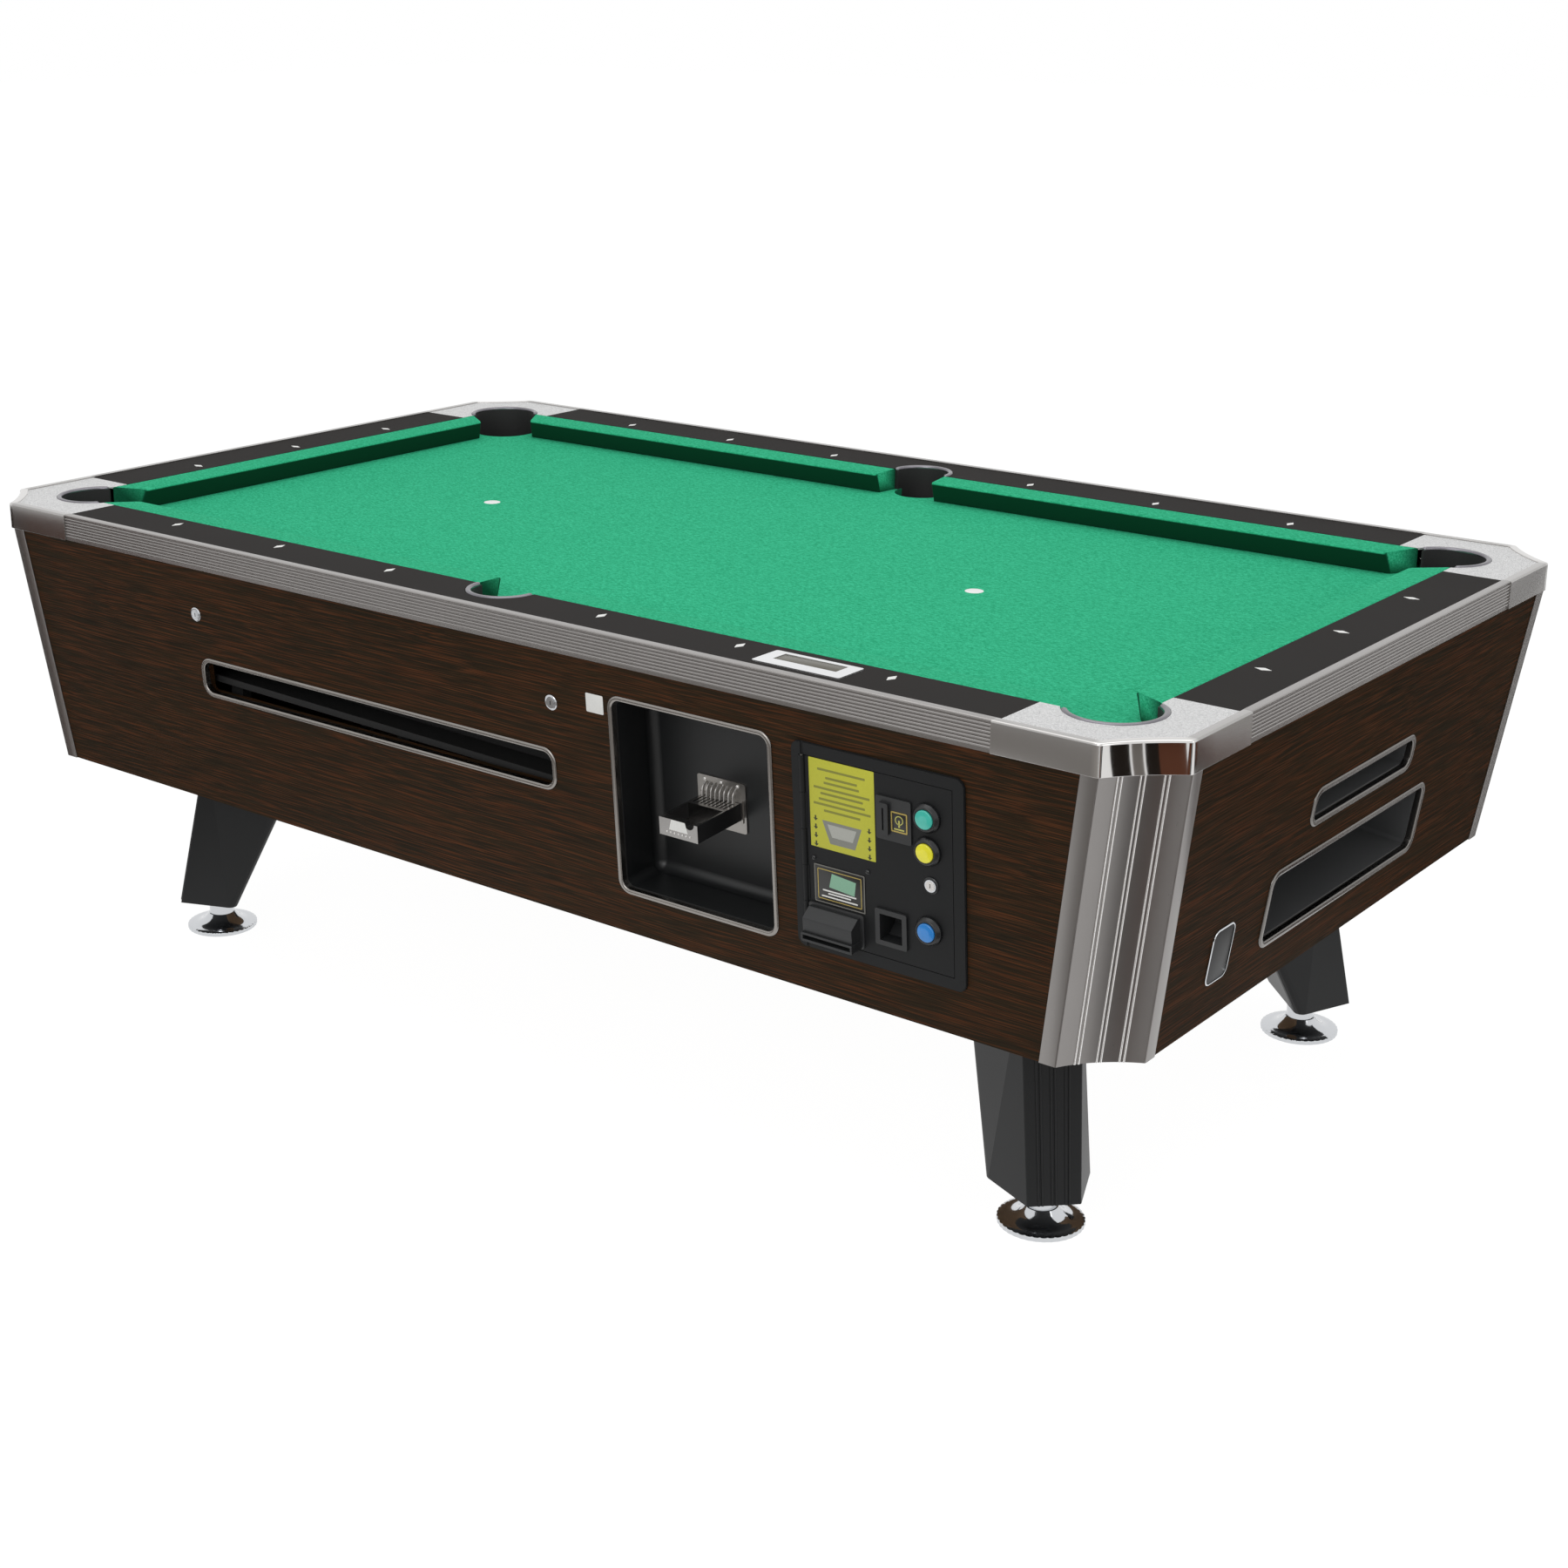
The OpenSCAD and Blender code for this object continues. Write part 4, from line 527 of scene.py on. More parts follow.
def trim_profile(half):
    """Section (outwards, height) of the trim: a flat web with half-round ribs and a rolled lip."""
    flat = half - trim_in - rib_r
    middle = (z_trim + table_h) / 2
    centres = [(middle + (i - (ribs - 1) / 2) * rib_pitch, 9) for i in range(ribs)] + [(table_h - rib_r, 13)]
    rounds = [(flat, height) + rib_r * circle(np.linspace(-np.pi / 2, np.pi / 2, steps))
              for height, steps in centres]
    return np.concatenate([[(flat - trim_web, z_trim), (flat, z_trim)], *rounds, [
        (half - lip_w, table_h), (half - lip_w, z_rail), (flat - trim_web, z_rail)]])


def carried(section, half, axis):
    """The section (outwards, height) carried along X or Y between two castings, in five rows."""
    run = half - cast_arm - trim_gap
    along = np.linspace(-run, run, 5)
    out, up = (np.broadcast_to(v, (len(along), len(section))) for v in section.T)
    run = np.broadcast_to(along[:, None], out.shape)
    return np.stack([run, out, up] if axis == "x" else [out, run, up], -1)


for name, half, length, axes in (("side", half_w, half_l, "xy"), ("end", half_l, half_w, "yx")):
    trim = carried(trim_profile(half), length, axes[0])
    skin(name + "_trim_extrusions", mirrored(trim, axes[1]),
         satin("drawn_trim_" + name, axes[0], "959290", 0.26, 0.28),
         replaces=[name + "_trims"])

# Slate and cloth
# One slab of honed slate with slow veins on the frame, and a worsted cloth stretched over it. The
# cloth is turned down a little way into each pocket.
bed_drop, cloth_t = 41, 0.9
z_bed = table_h - bed_drop
corner_in, corner_r, side_in, side_r = 144, 61, 107, 50
dress(coat("honed_slate", "3F4347 6C7074", (14, 6), 0.6), "slate")


def cloth(name, dark, light, patch, painted_shade):
    """Worsted cloth: two sizes of fibre noise from a dark to a light green, in slow clouds.

    The fibres are about 1 mm long and drawn here at 2 mm so that they show. A soft nap catches
    light at a low angle. Faces that turn sideways or down are mixed towards a dark green: painted shade.
    """
    made, tree = blank(name)
    where = add(tree, "TexCoord").outputs["Object"]
    fibre = add(tree, "TexNoise", Vector=where, Scale=520.0, Detail=3.0, Roughness=0.65)
    drawn = add(tree, "Mapping", Vector=where, Scale=(1, 2.4, 2.4))
    fleck = add(tree, "TexNoise", Vector=drawn, Scale=150.0, Detail=2.0)
    cloud = add(tree, "TexNoise", Vector=where, Scale=7.0, Detail=2.0)
    mix = add(tree, "Mix", {"data_type": "FLOAT"}, Factor=0.5, A=fibre, B=fleck)
    spread = add(tree, "MapRange", Value=mix, From_Min=0.38, From_Max=0.62)
    tint = add(tree, "MixRGB", Fac=spread, Color1=dark, Color2=light)
    cast = add(tree, "MapRange", Value=cloud, To_Min=0.0, To_Max=0.22)
    even = add(tree, "MixRGB", Fac=cast, Color1=tint, Color2=patch)
    facing = add(tree, "SeparateXYZ", Vector=add(tree, "TexCoord").outputs["Normal"])
    # Painted shade: faces that turn sideways or down are mixed towards the dark tone
    down = add(tree, "MapRange", Value=facing.outputs["Z"], From_Min=0.42, From_Max=-0.08)
    final = add(tree, "MixRGB", Fac=down, Color1=even, Color2=painted_shade)
    bump = add(tree, "Bump", Strength=0.5, Distance=0.0006, Height=fibre)
    nap = add(tree, "BsdfPrincipled", Base_Color=final, Roughness=0.95, Specular_IOR_Level=0.1,
              Sheen_Weight=0.05, Sheen_Roughness=0.5, Sheen_Tint="6FD8AC", Normal=bump)
    add(tree, "OutputMaterial", Surface=nap)
    return made


# The cloth turned down into the pockets takes the darker green 1C7A54, a painted shade
bed_cloth = cloth("green_worsted_bed_cloth", "1C9C6D", "48D3A1", "2AAD7F", "1C7A54")
slate_x, slate_y, lip_in, turn_down = half_l - 32, half_w - 34, 0.9, 14
holes = [(half_l - corner_in, half_w - corner_in, corner_r - lip_in), (0, half_w - side_in, side_r - lip_in)]


def cloth_reach(x):
    """How far the cloth goes from the middle line at each x: to its edge, or to a pocket's rim."""
    x = np.abs(x)
    reach = np.full(x.shape, slate_y)
    for cx, cy, r in holes:
        off = x - cx
        inside = np.abs(off) <= r
        reach = np.where(inside, np.minimum(reach, cy - np.sqrt(np.clip(r * r - off ** 2, 0, None))), reach)
        if cx:
            reach = np.where(off > 0, np.minimum(reach, cy + 42 - off), reach)
    return reach


# Stations along the table, close together round the pockets and in pairs at their edges
(cx, _, r), (_, _, side_hole) = holes
bow = np.sin(np.linspace(-np.pi / 2, np.pi / 2, 33))
stations = np.concatenate([side_hole * bow, cx + r * bow, -cx - r * bow, np.linspace(-slate_x, slate_x, 121),
                           [cx - r - 0.05, -cx + r + 0.05, side_hole + 0.05, -side_hole - 0.05]])
stations = np.unique(np.round(stations[np.abs(stations) <= slate_x], 3))
edge = cloth_reach(stations)
across = np.linspace(-1, 1, 25)
flat = edge[:, None] * across[None, :]
drop = np.array([turn_down, turn_down * 0.5, 1.2, 0.35])
skirt = np.array([0.0, 0.0, 0.0, 0.4])
pocket = edge < slate_y - 1
left = -edge[:, None] + skirt[None, :]
rows_y = np.concatenate([left, flat, -left[:, ::-1]], 1)
top = np.concatenate([-drop, np.zeros(len(across)), -drop[::-1]])
rows_z = z_bed + np.where(pocket[:, None], top[None, :], np.maximum(top, -0.4)[None, :])
inner_y = np.sign(rows_y) * np.maximum(np.abs(rows_y) - cloth_t * (top < -0.1), 0)
upper = np.stack([np.broadcast_to(stations[:, None], rows_y.shape), rows_y, rows_z], -1)
lower = np.stack([upper[..., 0], inner_y, rows_z - cloth_t * (top > -1)], -1)[:, ::-1]
bed = skin("bed_cloth", [np.concatenate([upper, lower], 1)], bed_cloth,
           replaces=["playfield_cloth"], crease=50)

# Two white spots of thin, closely woven cloth are pressed on the bed
spot_x, spot_shift, spot_r = 526, -42, 15
disc = lathe([(0, 0), (spot_r, 0), (spot_r, 0.15), (spot_r - 0.4, 0.3), (0, 0.3)], 40) + (0, 0, z_bed + 0.02)
skin("table_spots", [disc + (s * spot_x + spot_shift, 0, 0) for s in (1, -1)],
     coat("white_cloth_spot", "F4F5F3 FFFFFF", (900, 2), 0.9), how="rows")

# Cushions
# Gum rubber glued to the rails and covered in the same cloth: level with the rail at the back,
# nearly upright below a small round nose, and cut slanting at the pockets, where the cloth is folded.
rail_in, nose_in, nose_h = 111, 165, 33
corner_nose, corner_back, side_nose, side_back = 238, 205, 62, 56
# Upright and undercut faces of the cushions take the deep green 07402A, a painted shade
cushion_cloth = cloth("green_worsted_cushion_cloth", "1A9A6B", "46CF9D", "28A87A", "07402A")


def cushion(half, x0, x1, axis):
    """Cushion strip carried along a rail: its section keeps its height, and its depth follows the plan.

    x0 and x1 give each end at the rail and at the nose. Towards an end the depth shrinks along a
    quarter circle, which rounds the nose, and the cloth dips into the groove along the rail.
    """
    depth = nose_in - rail_in
    section = bent([(0.4, z_bed + 0.15), (0.4, z_rail - 0.9), (3.5, z_rail + 0.1),
                    (depth + 3.4, z_bed + nose_h + 3.4), (depth - 9, z_bed + 0.15)],
                   [0.6, 0.7, 2.5, 3.4, 0.5])
    ease, soft = np.linspace(0, np.pi / 2, 7), 4
    near = soft * (1 - np.cos(ease))
    length = min(x1) - max(x0)
    run = np.concatenate([near, np.linspace(soft, length - soft, 30)[1:-1], length - near[::-1]]) / length
    gap = np.minimum(run, 1 - run) * length
    shrink = 1 - (soft - np.sqrt(np.clip(soft ** 2 - np.clip(soft - gap, 0, None) ** 2, 0, None))) / depth
    back = section[:, 0][None, :] * shrink[:, None]
    share = np.clip(back / depth, 0, 1)
    start, stop = x0[0] + (x0[1] - x0[0]) * share, x1[0] + (x1[1] - x1[0]) * share
    along = start + (stop - start) * run[:, None]
    out, up = half - rail_in - back, np.broadcast_to(section[:, 1], back.shape)
    return np.stack([along, out, up] if axis == "x" else [out, along, up], -1)


side = cushion(half_w, (side_back, side_nose), (half_l - corner_back, half_l - corner_nose), "x")
end = cushion(half_l, (corner_back - half_w, corner_nose - half_w),
              (half_w - corner_back, half_w - corner_nose), "y")
for name, strip, axes in (("side", side, "xy"), ("end", end, "x")):
    strips = skin(name + "_cushion_strips", mirrored(strip, axes), cushion_cloth,
                  replaces=[name + "_cushions"], crease=60)

# Rails
# Particle-board rails covered in a charcoal laminate with a dull, finely pebbled face. White
# plastic diamonds, a little pearly, mark the length.
dress(coat("charcoal_laminate", "302E2D 363433", (4, 3), 0.85, (0.2, 0.0002), (700, 2),
           Specular_IOR_Level=0.06), "side_rails", "end_rails")
dress(coat("white_acrylic_diamond", "E9E9E6 FCFCFA", (180, 2), 0.3), "rail_sights")

# Pockets
# Liners of dull, finely grained rubber hang through the slate, boots below them turn the balls into
# the runways, and a bright rounded rim frames each opening on the rail side.
dress(coat("moulded_black_rubber", "141414 232323", (500, 2), 0.7, (0.25, 0.0003)), "corner_pocket_liners",
      "side_pocket_liners", "pocket_boots", "ball_storage_tray")
rim_w, rim_low, rim_end = 9, z_rail - 3, 4.5


def rim_arc(centre, r, first, last):
    """Pocket rim: a round-topped section carried along an arc, drawn in to nothing at both ends."""
    turn = np.radians(np.linspace(first, last, 73))
    section = bent([(0, 0), (rim_w, 0), (rim_w, table_h - rim_low), (0, table_h - rim_low)], [0, 0, 3.6, 3.6])
    left = np.minimum(turn - turn[0], turn[-1] - turn) * r
    full = np.sqrt(np.clip(1 - np.clip(1 - left / rim_end, 0, 1) ** 2, 0.0004, 1))
    wide = r + rim_w / 2 + (section[:, 0] - rim_w / 2)[None, :] * full[:, None]
    high = rim_low + section[:, 1][None, :] * (0.55 + 0.45 * full[:, None])
    return np.dstack([centre + wide[..., None] * circle(turn)[:, None], high])


rim_metal = satin("brushed_pocket_rim", "z", "77757A", 0.24, 0.34)
rims = {"corner": ((half_l - corner_in, half_w - corner_in), corner_r, corner_in, -90, "xy"),
        "side": ((0, half_w - side_in), side_r, side_in, 0, "y")}
for name, (centre, r, pocket_in, first, axes) in rims.items():
    over = math.degrees(math.asin((pocket_in - rail_in) / r))
    arc = rim_arc(centre, r, over + first + 1, 180 - over - 1)
    skin(name + "_pocket_rim_arcs", mirrored(arc, axes), rim_metal,
         replaces=[name + "_pocket_rims"], crease=50)

# Ball runways
# Folded sheet troughs with the spangle of zinc take the balls from the boots to the storage tray and
# on to the foot end. The cash box, in dimpled hammer paint, stands beside them on the cabinet floor.
dress(coat("zinc_coated_sheet", "8B8F92 A7ABAE", (70, None), (0.3, 0.5), Metallic=1.0), "ball_runways",
      "transfer_runway", "return_runway", "ball_gate", "leg_bolts")
dress(coat("grey_hammer_paint", "4A4D50 5D6164", (190, None), 0.4, (0.4, 0.0005)), "cash_box")

# Front ball slot
# A long opening in the front shows the balls in the storage tray. A rounded aluminium ring is pressed
# in to its edge.
lean_long = math.atan(long_lean / (z_trim - z_cab))


def on_board(local, z, lean):
    """How far out and how high local points (along, up the board, outwards) are on a leaning wall."""
    up = local[..., 1] + (z - z_cab) / math.cos(lean)
    out = local[..., 2]
    return up * math.sin(lean) + out * math.cos(lean), z_cab + up * math.cos(lean) - out * math.sin(lean)


def on_front(local, x, z):
    """Local points put on the front wall at x and height z."""
    out, high = on_board(local, z, lean_long)
    return np.stack([x + local[..., 0], -long_y - out, high], -1)


def round_box(w, h, r, steps=8):
    """Closed outline of a rectangle with rounded corners."""
    x, y = w / 2, h / 2
    return bent([(-x, -y), (x, -y), (x, y), (-x, y)], [r] * 4, steps)


def framed(w, h, r, profile, steps=8):
    """A section (outwards in the plane, height) carried round a rounded rectangle."""
    return np.stack([level(round_box(w + 2 * d, h + 2 * d, max(r + d, 0.2), steps), up) for d, up in profile])


def ring(w, h, r, ring_w, collar=8):
    """Ring with a crowned flange and a thin collar down into its hole; w and h are its outer size."""
    crown = np.linspace(np.pi, 0, 13)
    top = np.stack([ring_w / 2 + ring_w / 2 * np.cos(crown), 0.4 + (ring_h - 0.4) * np.sin(crown) ** 0.8], -1)
    section = np.concatenate([[(0, -collar)], top, [(ring_w, 0), (1.5, 0), (1.5, -collar)]])
    return framed(w - 2 * ring_w, h - 2 * ring_w, max(r - ring_w, 4), section)


ring_w, ring_h = 8, 3
ring_metal = satin("satin_ring_front", "x", "8E8A86", 0.22, 0.24)
slot_x, slot_z, slot_w, slot_h, slot_r = -219.5, 594, 801, 69, 24
skin("ball_slot_ring", [on_front(ring(slot_w, slot_h, slot_r, ring_w), slot_x, slot_z)], ring_metal,
     replaces=["slot_trim"], crease=40, how="rows cols")

# Coin bay
# A deep box of black moulded plastic behind its own ring keeps the coin slide inside the wall's
# face. A small coving runs round its back wall, as vacuum forming leaves it.
bay_x, bay_z, bay_w, bay_h, bay_r, bay_depth = 439, 582.5, 296, 311, 22, 84
skin("coin_bay_ring", [on_front(ring(bay_w, bay_h, bay_r, ring_w), bay_x, bay_z)], ring_metal,
     replaces=["coin_bay_trim"], crease=40, how="rows cols")
moulded = coat("black_moulded_abs", "121314 1B1D1E", (6, 2), (0.36, 0.46), (0.12, 0.0002), (650, 2))
dress(moulded, "coin_bay_liner")
cove, wall_t = 15, 8
coving = np.concatenate([[(0.4, 0)], cove * circle(np.linspace(-np.pi / 2, 0, 9)) + (-cove, cove)])
inner = framed(bay_w - 2 * wall_t - 4, bay_h - 2 * wall_t - 4, bay_r - wall_t, coving + (0, 0.3 - bay_depth))
skin("coin_bay_coving", [on_front(inner, bay_x, bay_z)], moulded, crease=60, how="rows cols")

# Coin slide
# A brushed steel plate on the bay's back wall holds a tray with upright coin slots, pushed in by
# hand. The tray is nickel on top and in front, and black on its sides. Its price label is bare.
dress(coat("brushed_zinc_plated_steel", "96938F AAA7A3", (40, 3), (0.24, 0.4), fine=((1200, 60, 60), 2),
           Metallic=1.0), "coin_slide_plate", "door_hinge_pin")
tray_steel, tree = blank("nickel_tray_black_sides")
coords = add(tree, "TexCoord").outputs
side = add(tree, "SeparateXYZ", Vector=coords["Normal"])
off = add(tree, "Math", {"operation": "ABSOLUTE"}, i0=side.outputs["X"])
mask = add(tree, "MapRange", Value=off, From_Min=0.6, From_Max=0.8)
grain = add(tree, "TexNoise", Vector=coords["Object"], Scale=500.0, Detail=2.0)
rough = add(tree, "MapRange", Value=grain, To_Min=0.16, To_Max=0.26)
metal = add(tree, "BsdfPrincipled", Base_Color="A19F9D", Metallic=1.0, Roughness=rough)
black = add(tree, "BsdfPrincipled", Base_Color="161617", Roughness=0.55)
add(tree, "OutputMaterial", Surface=add(tree, "MixShader", Fac=mask, i1=metal, i2=black))
dress(tray_steel, "coin_tray")
chute_x, chute_z, coin_drop, tray_out, tray_h = 427, 568, -4.5, 18.5, 27


def at_chute(local):
    """Local points on the coin slide: across, up the wall, and outwards from the bay's back wall."""
    return on_front(local - (0, 0, bay_depth), chute_x, chute_z)


def flat_shape(outline, thick=0.2):
    """Thin flat piece: its outline at the surface, and once more at its thickness."""
    return np.stack([level(outline, z) for z in (0.02, thick)])


def upright(side_line, stations):
    """Upright shape: a line (up, outwards) repeated at each station across."""
    return np.stack([np.column_stack([np.full(len(side_line), x), side_line]) for x in stations])


# A comb of hooked blades in pale, dull cast zinc keeps the coins upright, and rivets hold the plate
comb_metal = coat("cast_zinc_comb", "E2E0DD", (300, 2), (0.42, 0.55), Metallic=1.0)
fins, fin_pitch, fin_t, rivet_up, pin_pitch = 8, 8.0, 1.3, 33, 7
fin_line = bent([(9.3, 8), (9.3, 13.5), (24, 12), (31, 2.4), (28, 2.4), (20, 8.4)], [0, 0.5, 9, 0, 0, 6], 5)
fin = upright(fin_line, (-fin_t / 2, fin_t / 2))
comb = [at_chute(fin + ((i - (fins - 1) / 2) * fin_pitch, 0, 0)) for i in range(fins)]
rivet = lathe([(0, 2.5), (3.2, 2.5), (3.0, 3.3), (2.2, 4.0), (1.1, 4.3), (0, 4.4)], 24)
comb += [(at_chute(rivet + (x, rivet_up, 0)), "rows") for x in (-30, 0, 30)]
skin("coin_comb_and_rivets", comb, comb_metal)
pin = lathe([(0, -4), (1.5, -4), (1.5, 0), (1.3, 0.7), (0.7, 1.1), (0, 1.2)], 16)
pin = pin + (0, coin_drop - tray_h / 2 + 7, tray_out + bay_depth)
skin("tray_front_pins", [at_chute(pin + (i * pin_pitch, 0, 0)) for i in range(-3, 4)], comb_metal,
     "coin_tray", how="rows")


def plate(w, h, r, thick, steps=5):
    """Thin plate with rounded corners and a rounded edge: outlines stacked in height, then drawn in."""
    edge = min(0.4, thick / 2)
    lines = [(0, 0), (0, thick - edge), (-edge * 0.3, thick - edge * 0.3), (-edge, thick)]
    return framed(w, h, r, lines, steps)


def ink(name, colour, rough=0.55):
    """Printed or lacquered layer: one colour, mottled a little at 2 mm."""
    return coat(name, colour, (500, 2), rough, gain=0.86)


# Bare white paper: the price card on the tray and a square on the wall
white_paper = ink("white_card_paper", "F4F4F0")
card = flat_shape([(-17, -8), (17, -8), (12.5, 8), (-12.5, 8)]) + (0, coin_drop + 5.3, tray_out + bay_depth)
skin("tray_price_card", [at_chute(card)], white_paper, "coin_tray")
skin("wall_card", [on_front(plate(33, 29, 2, 0.3), 265.5, 716.5)], white_paper)

# Control panel
# A steel frame on the wall with a hinged door, powder coated black with a fine texture. The door
# carries the coin entry and return cup of charcoal plastic, the bill acceptor, buttons and a lock.
dress(coat("textured_black_powder_coat", "111213 1A1B1C", (900, 2), 0.55, (0.3, 0.0002),
           Specular_IOR_Level=0.25), "control_frame", "control_door")
charcoal = coat("charcoal_polycarbonate", "1F2021 292A2B", (800, 2), 0.42, (0.15, 0.0002))
dress(charcoal, "coin_entry", "coin_return_cup")
door_face, panel_x, panel_z = 3.8, 761, 585


def on_door(name, shapes, finish, how="cols ends", body="control_door", replaces=(), crease=35):
    """Piece on the door's face from shapes, each a grid with its x and z and perhaps a how of its own."""
    grids = []
    for grid, x, z, *own in shapes:
        local = grid + (x - panel_x, (z - panel_z) / math.cos(lean_long), door_face)
        grids.append((on_front(local, panel_x, panel_z), *(own or [how])))
    skin(name, grids, finish, body, replaces, crease)


# Three buttons in bezels of turned acetal, black with a soft gloss
bezel_r, bezel_h, button_r, barrel, button_x = 21, 9, 13.5, 15.5, 842.5
buttons = {"start": (672.5, "35B8A6", "teal_plastic"), "select": (625, "E6DF1F", "yellow_plastic"),
           "reject": (510.3, "0B7CCB", "blue_plastic")}
ring_line = bent([(button_r + 0.05, -24), (barrel, -24), (barrel, 0), (bezel_r, 0), (bezel_r - 0.5, 3.5),
                  (button_r + 3, bezel_h), (button_r + 0.05, bezel_h - 1)], [0, 0, 0, 0.8, 3, 2, 0.6])
cup_line = [(0, -27), (barrel, -27), (barrel, -23.9), (0, -23.9)]
bezels = []
for z, _, _ in buttons.values():
    bezels += [(lathe(ring_line), button_x, z, "rows cols"), (lathe(cup_line), button_x, z, "rows")]
glossy = coat("black_acetal", "161718 222325", (120, 2), (0.24, 0.32))
on_door("button_bezel_rings", bezels, glossy, replaces=["button_bezels"])

# Their caps are dyed acrylic: glossy, with slightly uneven lighter clouds painted in as light from a lamp
# behind
cap_line = bent([(0, -14), (button_r, -14), (button_r, bezel_h + 1.2), (button_r * 0.5, bezel_h + 2.1),
                 (0, bezel_h + 2.3)], [0, 0, 1.8, 6, 0])
for name, (z, colour, slot) in buttons.items():
    acrylic = coat(name + "_dyed_acrylic_painted_backlight", colour, (70, 1), 0.2, gain=1.25, lift=0.02, Coat_Weight=0.4)
    on_door(name + "_button_cap", [(lathe(cap_line), button_x, z)], acrylic, "rows", name + "_button",
            [name + "_button"])

# The bill acceptor: a hood over a framed mouth in front, and its drive box behind the door
bill_x, bill_z = 691.5, 480
hood = upright(bent([(-13, 0.5), (-13, 23), (9, 24), (20.5, 8), (20.5, 0.5)], [0, 1.5, 3, 3, 0], 5),
               (-42, -41, 39, 40))
mouth = framed(86, 13, 2, [(0, 1), (0, 26.2), (-0.8, 27), (-2.7, 27), (-3.5, 26.2), (-3.5, 1)], 4)
parts = [(plate(92, 50, 4, 3), "cols ends"), (hood, "cols ends"), (mouth + (-1, -18.5, 0), "rows cols"),
         (plate(88, 62, 3, 90) + (0, 9, -104), "cols ends"),
         (plate(84, 40, 2, 18) + (0, 0, -17), "cols ends")]
on_door("bill_acceptor_body", [(grid, bill_x, bill_z, how) for grid, how in parts], charcoal,
        replaces=["bill_acceptor"], crease=40)

# Printed cards on the door
# A yellow card with plain bars for its lines, a picture left as a grey shape, and arrows down to the
# bill mouth. A framed dark card lies over the acceptor and a small one beside the coin slot.
card_x, card_t, print_t = 705, 0.3, 0.12
on_door("yellow_card", [(plate(107, 130, 1, card_t), card_x, 653.5)],
        ink("yellow_printed_card", "CCCB3C", 0.5))


def printed(shapes):
    """Flat shapes for the door, each an outline with its middle's x and z, and its level over the door."""
    return [(flat_shape(line, print_t) + (0, 0, level), x, z) for line, x, z, level in shapes]


line_h = 3.4
bars = [(round_box(w, line_h, 0.8, 2), card_x, z, card_t) for w, z in (
    (78, 704), (52, 693), (58, 685.5), (92, 677), (70, 669.5), (76, 661), (94, 653.5), (60, 645))]
arrow = [(0, -4), (3.6, 0), (1.2, 0), (1.2, 4), (-1.2, 4), (-1.2, 0), (-3.6, 0)]
arrows = [(arrow, x, z, card_t) for x in (660.5, 749) for z in (631, 618.5, 606, 593.5)]
on_door("card_lines", printed(bars), ink("olive_card_ink", "8F903A"))
on_door("card_arrows", printed(arrows), ink("dark_card_ink", "3B3D20"))
picture = [(-32.5, 16.5), (-20, -16), (21, -16), (32.5, 16.5)]
inner = [(-24, 11), (-16.5, -7), (17.5, -7), (24, 11)]
on_door("card_picture", printed([(picture, 704, 614, card_t)]), ink("grey_card_ink", "8D8E86"))
on_door("card_picture_inner", printed([(inner, 704, 615, card_t + print_t)]),
        ink("pale_grey_card_ink", "B9BAB2"))

# Two bare dark cards have borders of printed gold foil, soft and not quite a mirror
foil = coat("gold_foil_border", "A8914A C9B56A", (400, 2), 0.4, Metallic=0.6)


def border(w, h, line):
    """Flat border line round a card."""
    return framed(w, h, 1.5, [(0, 0.02), (0, 0.14), (-line, 0.14), (-line, 0.02)], 3)


bill_card, coin_card, holder_t, entry_t = (697.5, 535.5), (799.5, 656.3), 0.8, 2.5
on_door("bill_card", [(plate(84, 56, 1.5, holder_t), *bill_card),
                      (plate(26, 29, 1.5, card_t) + (0, 0, entry_t), *coin_card)],
        ink("dark_printed_card", "1B1A17", 0.3))
on_door("card_holder_edge", [(border(84, 56, 1.6) + (0, 0, holder_t), *bill_card)],
        ink("grey_holder_edge", "77756F", 0.35), "rows cols")
on_door("card_borders", [(border(73, 45, 1.2) + (0, 0, holder_t), *bill_card),
                         (border(26, 29, 2.0) + (0, 0, entry_t + card_t), *coin_card)],
        foil, "rows cols")
note = [(-20, -8), (22, -12), (25, 9), (-15, 13)]
on_door("card_note", printed([(note, 700, 541, holder_t)]), ink("pale_green_card_ink", "8FBFA2"))
note_lines = [(round_box(w, 2.2, 0.6, 2), 697, z, holder_t) for w, z in ((56, 527), (38, 523), (60, 518))]
on_door("card_note_lines", printed(note_lines), white_paper)
coin = [(framed(13, 13, 6.4, [(0, 0), (0, print_t), (-1.3, print_t), (-1.3, 0)], 6) + (0, 3, 0), "rows cols"),
        (flat_shape([(-8, -11), (8, -11), (8, -9), (-8, -9)], print_t), "cols ends"),
        (flat_shape([(-1.2, -7), (1.2, -7), (1.2, 3), (-1.2, 3)], print_t), "cols ends")]
on_door("coin_pictogram", [(grid + (0, 0, entry_t + 0.32), *coin_card, how) for grid, how in coin],
        ink("pale_yellow_ink", "CDC96A"))

# Two round-head screws hold the acceptor to the door
head = lathe([(0, 0), (3.6, 0), (3.5, 1), (2.6, 2), (1.2, 2.5), (0, 2.6)], 28)
on_door("acceptor_screws", [(head, x, 571) for x in (655, 744.7)], glossy, "rows")

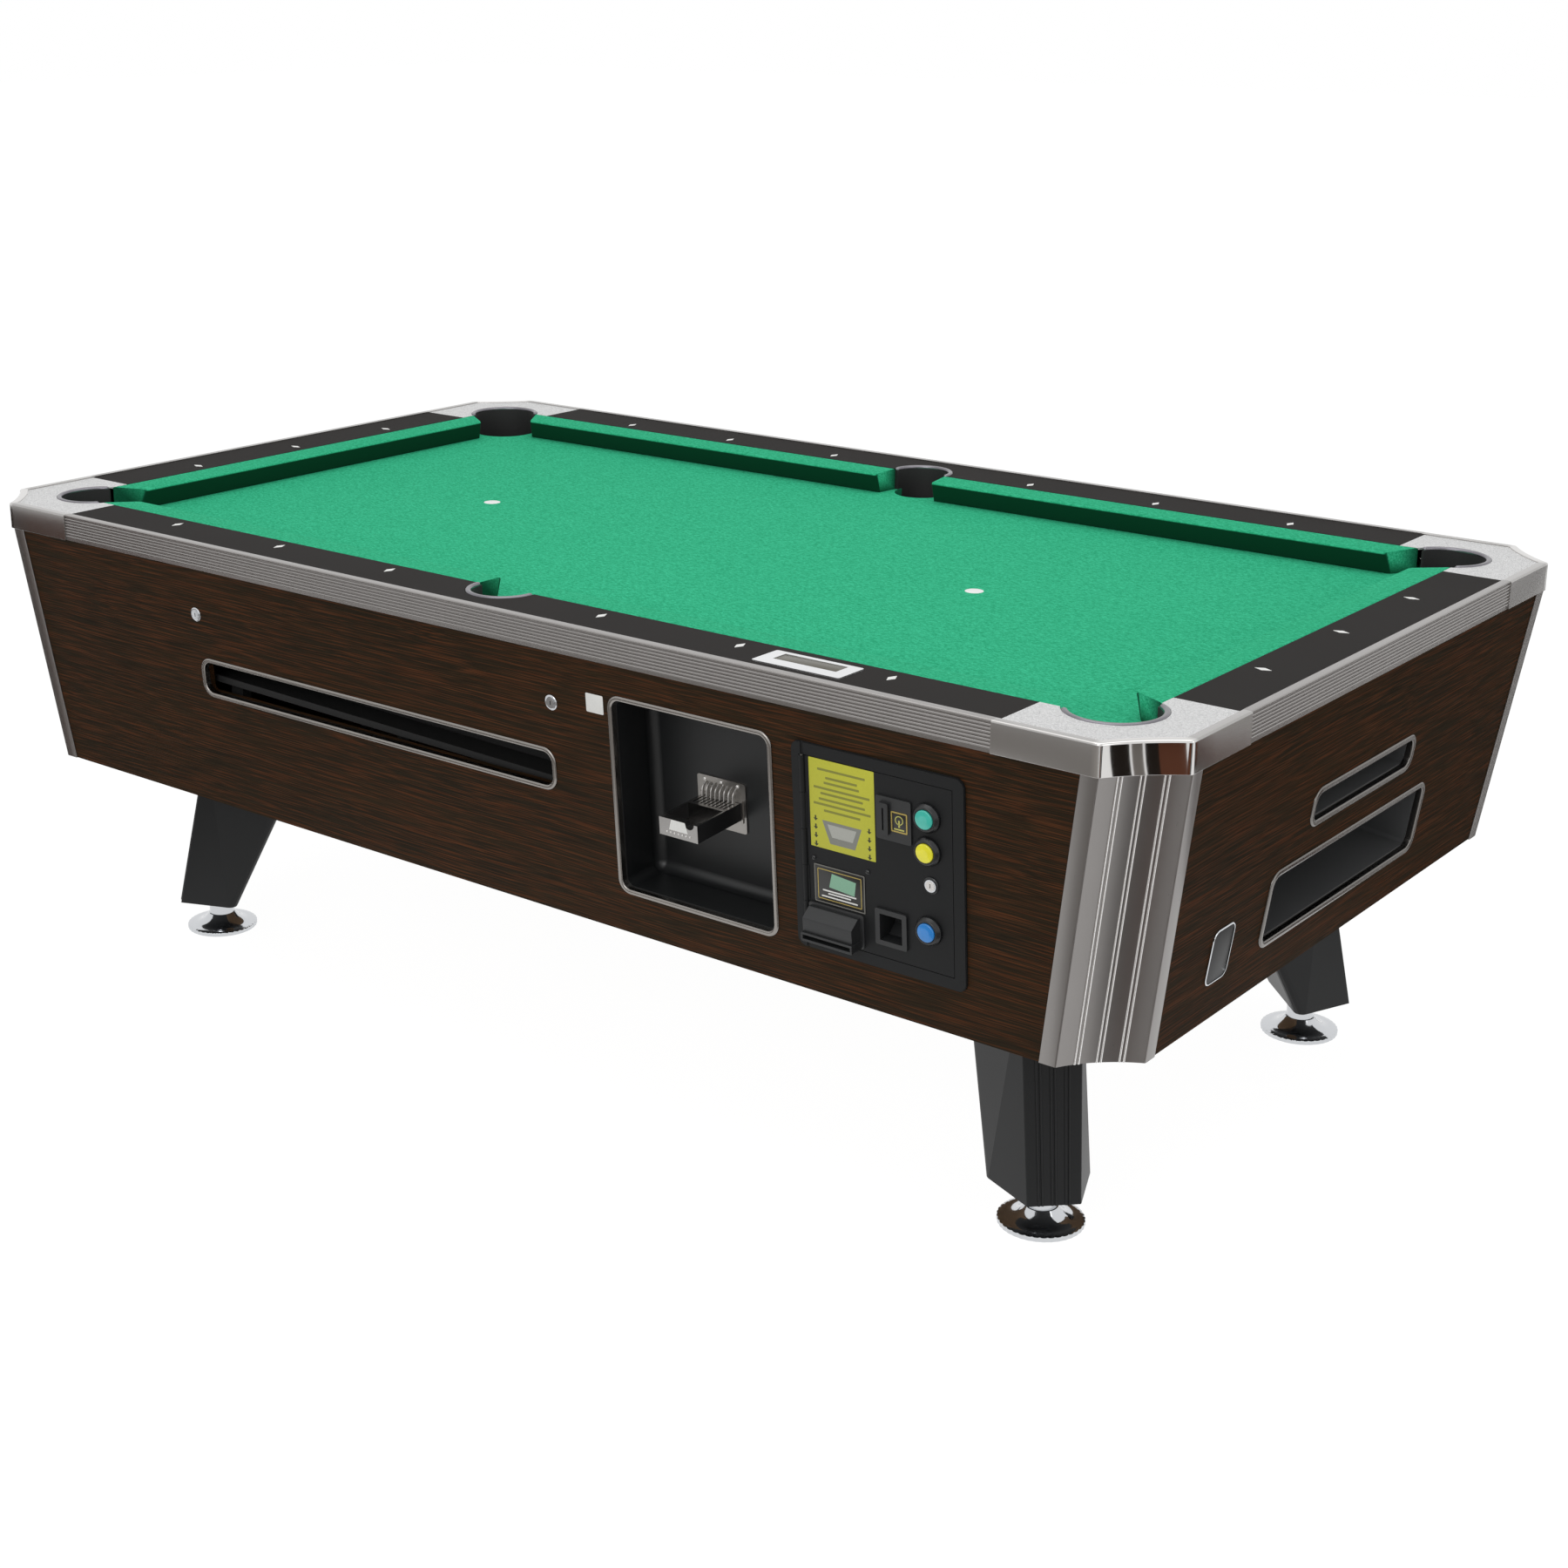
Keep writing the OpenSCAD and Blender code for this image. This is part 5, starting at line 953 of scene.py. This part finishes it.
# Locks
# Chromium plated cam locks: one holds the control door, two hold the lift-out front. Each is a
# barrel with a rolled edge and a plug with its key slot.
dress(chrome, "lock_bodies", "door_lock_body", "left_lock_plug", "right_lock_plug")
dress(comb_metal, "door_lock_plug")
barrel_out, lock_z = 8.82, 702
collar = lathe(bent([(barrel_out, 0), (12, 0), (12, 1.2), (10.4, 2.1), (barrel_out, 1.6)],
                    [0, 0.3, 0.6, 0.6, 0.2], 5), 48)
skin("wall_lock_collars", [on_front(collar, x, lock_z) for x in (-618, 180)], chrome,
     how="rows cols")
on_door("door_lock_collar", [(collar, 847, 577)], glossy, "rows cols")

# Score display
# A cast aluminium frame let in to the front rail, with a brownish smoked window over the display.
dress(satin("cast_display_frame", "x", "DADBDC", 0.3, 0.42), "rail_display")
display_x, display_y = 610, 60 - half_w
window = plate(105.6, 28.6, 1.5, 4.2) + (display_x, display_y + 7, z_rail - 3)
skin("display_window", [window], coat("smoked_acrylic_window", "4A4638 555142", (30, 2), 0.25,
                                      Specular_IOR_Level=0.3))

# Foot-end openings
# Two openings in the foot end: the upper one for small things, the lower one where the balls come
# out. Both have a satin ring, darker than the front rings as painted shade, and a box of smooth
# black plastic coloured dark grey as a painted sheen.
lean_end = math.atan(end_lean / (z_trim - z_cab))


def on_foot(local, y, z):
    """Local points put on the foot-end wall at y and height z."""
    out, high = on_board(local, z, lean_end)
    return np.stack([end_x + out, y + local[..., 0], high], -1)


# Black plastic given a dark grey colour: the grey is a painted sheen
dress(coat("smooth_black_abs_painted_sheen", "505152 5C5D5E", (6, 2), (0.3, 0.4)), "shelf_liner", "ball_return_tray")
foot_ring_w, foot_ring_r = ring_w + 2, 24
foot_rings = [on_foot(ring(w, h, foot_ring_r, foot_ring_w), 0, z)
              for w, h, z in ((344, 62, 616), (520, 121, 486))]
# Same satin aluminium as the front rings in a darker tone: painted shade at the foot end
skin("foot_opening_rings", foot_rings, satin("satin_ring_foot_painted_shade", "y", "75726F", 0.2, 0.24),
     replaces=["foot_trims"], crease=40, how="rows cols")

# A bare badge plate sits on the foot end: black enamel with a polished edge
badge_y, badge_z = -383, 466
edge = framed(62, 84, 14, [(0, 0), (0, 1.6), (-0.6, 2.2), (-2.2, 2.2), (-2.2, 0)])
skin("badge_edge", [on_foot(edge, badge_y, badge_z)], chrome, how="rows cols")
skin("badge_face", [on_foot(plate(57.4, 79.4, 11.6, 1.2), badge_y, badge_z)], black_paint)
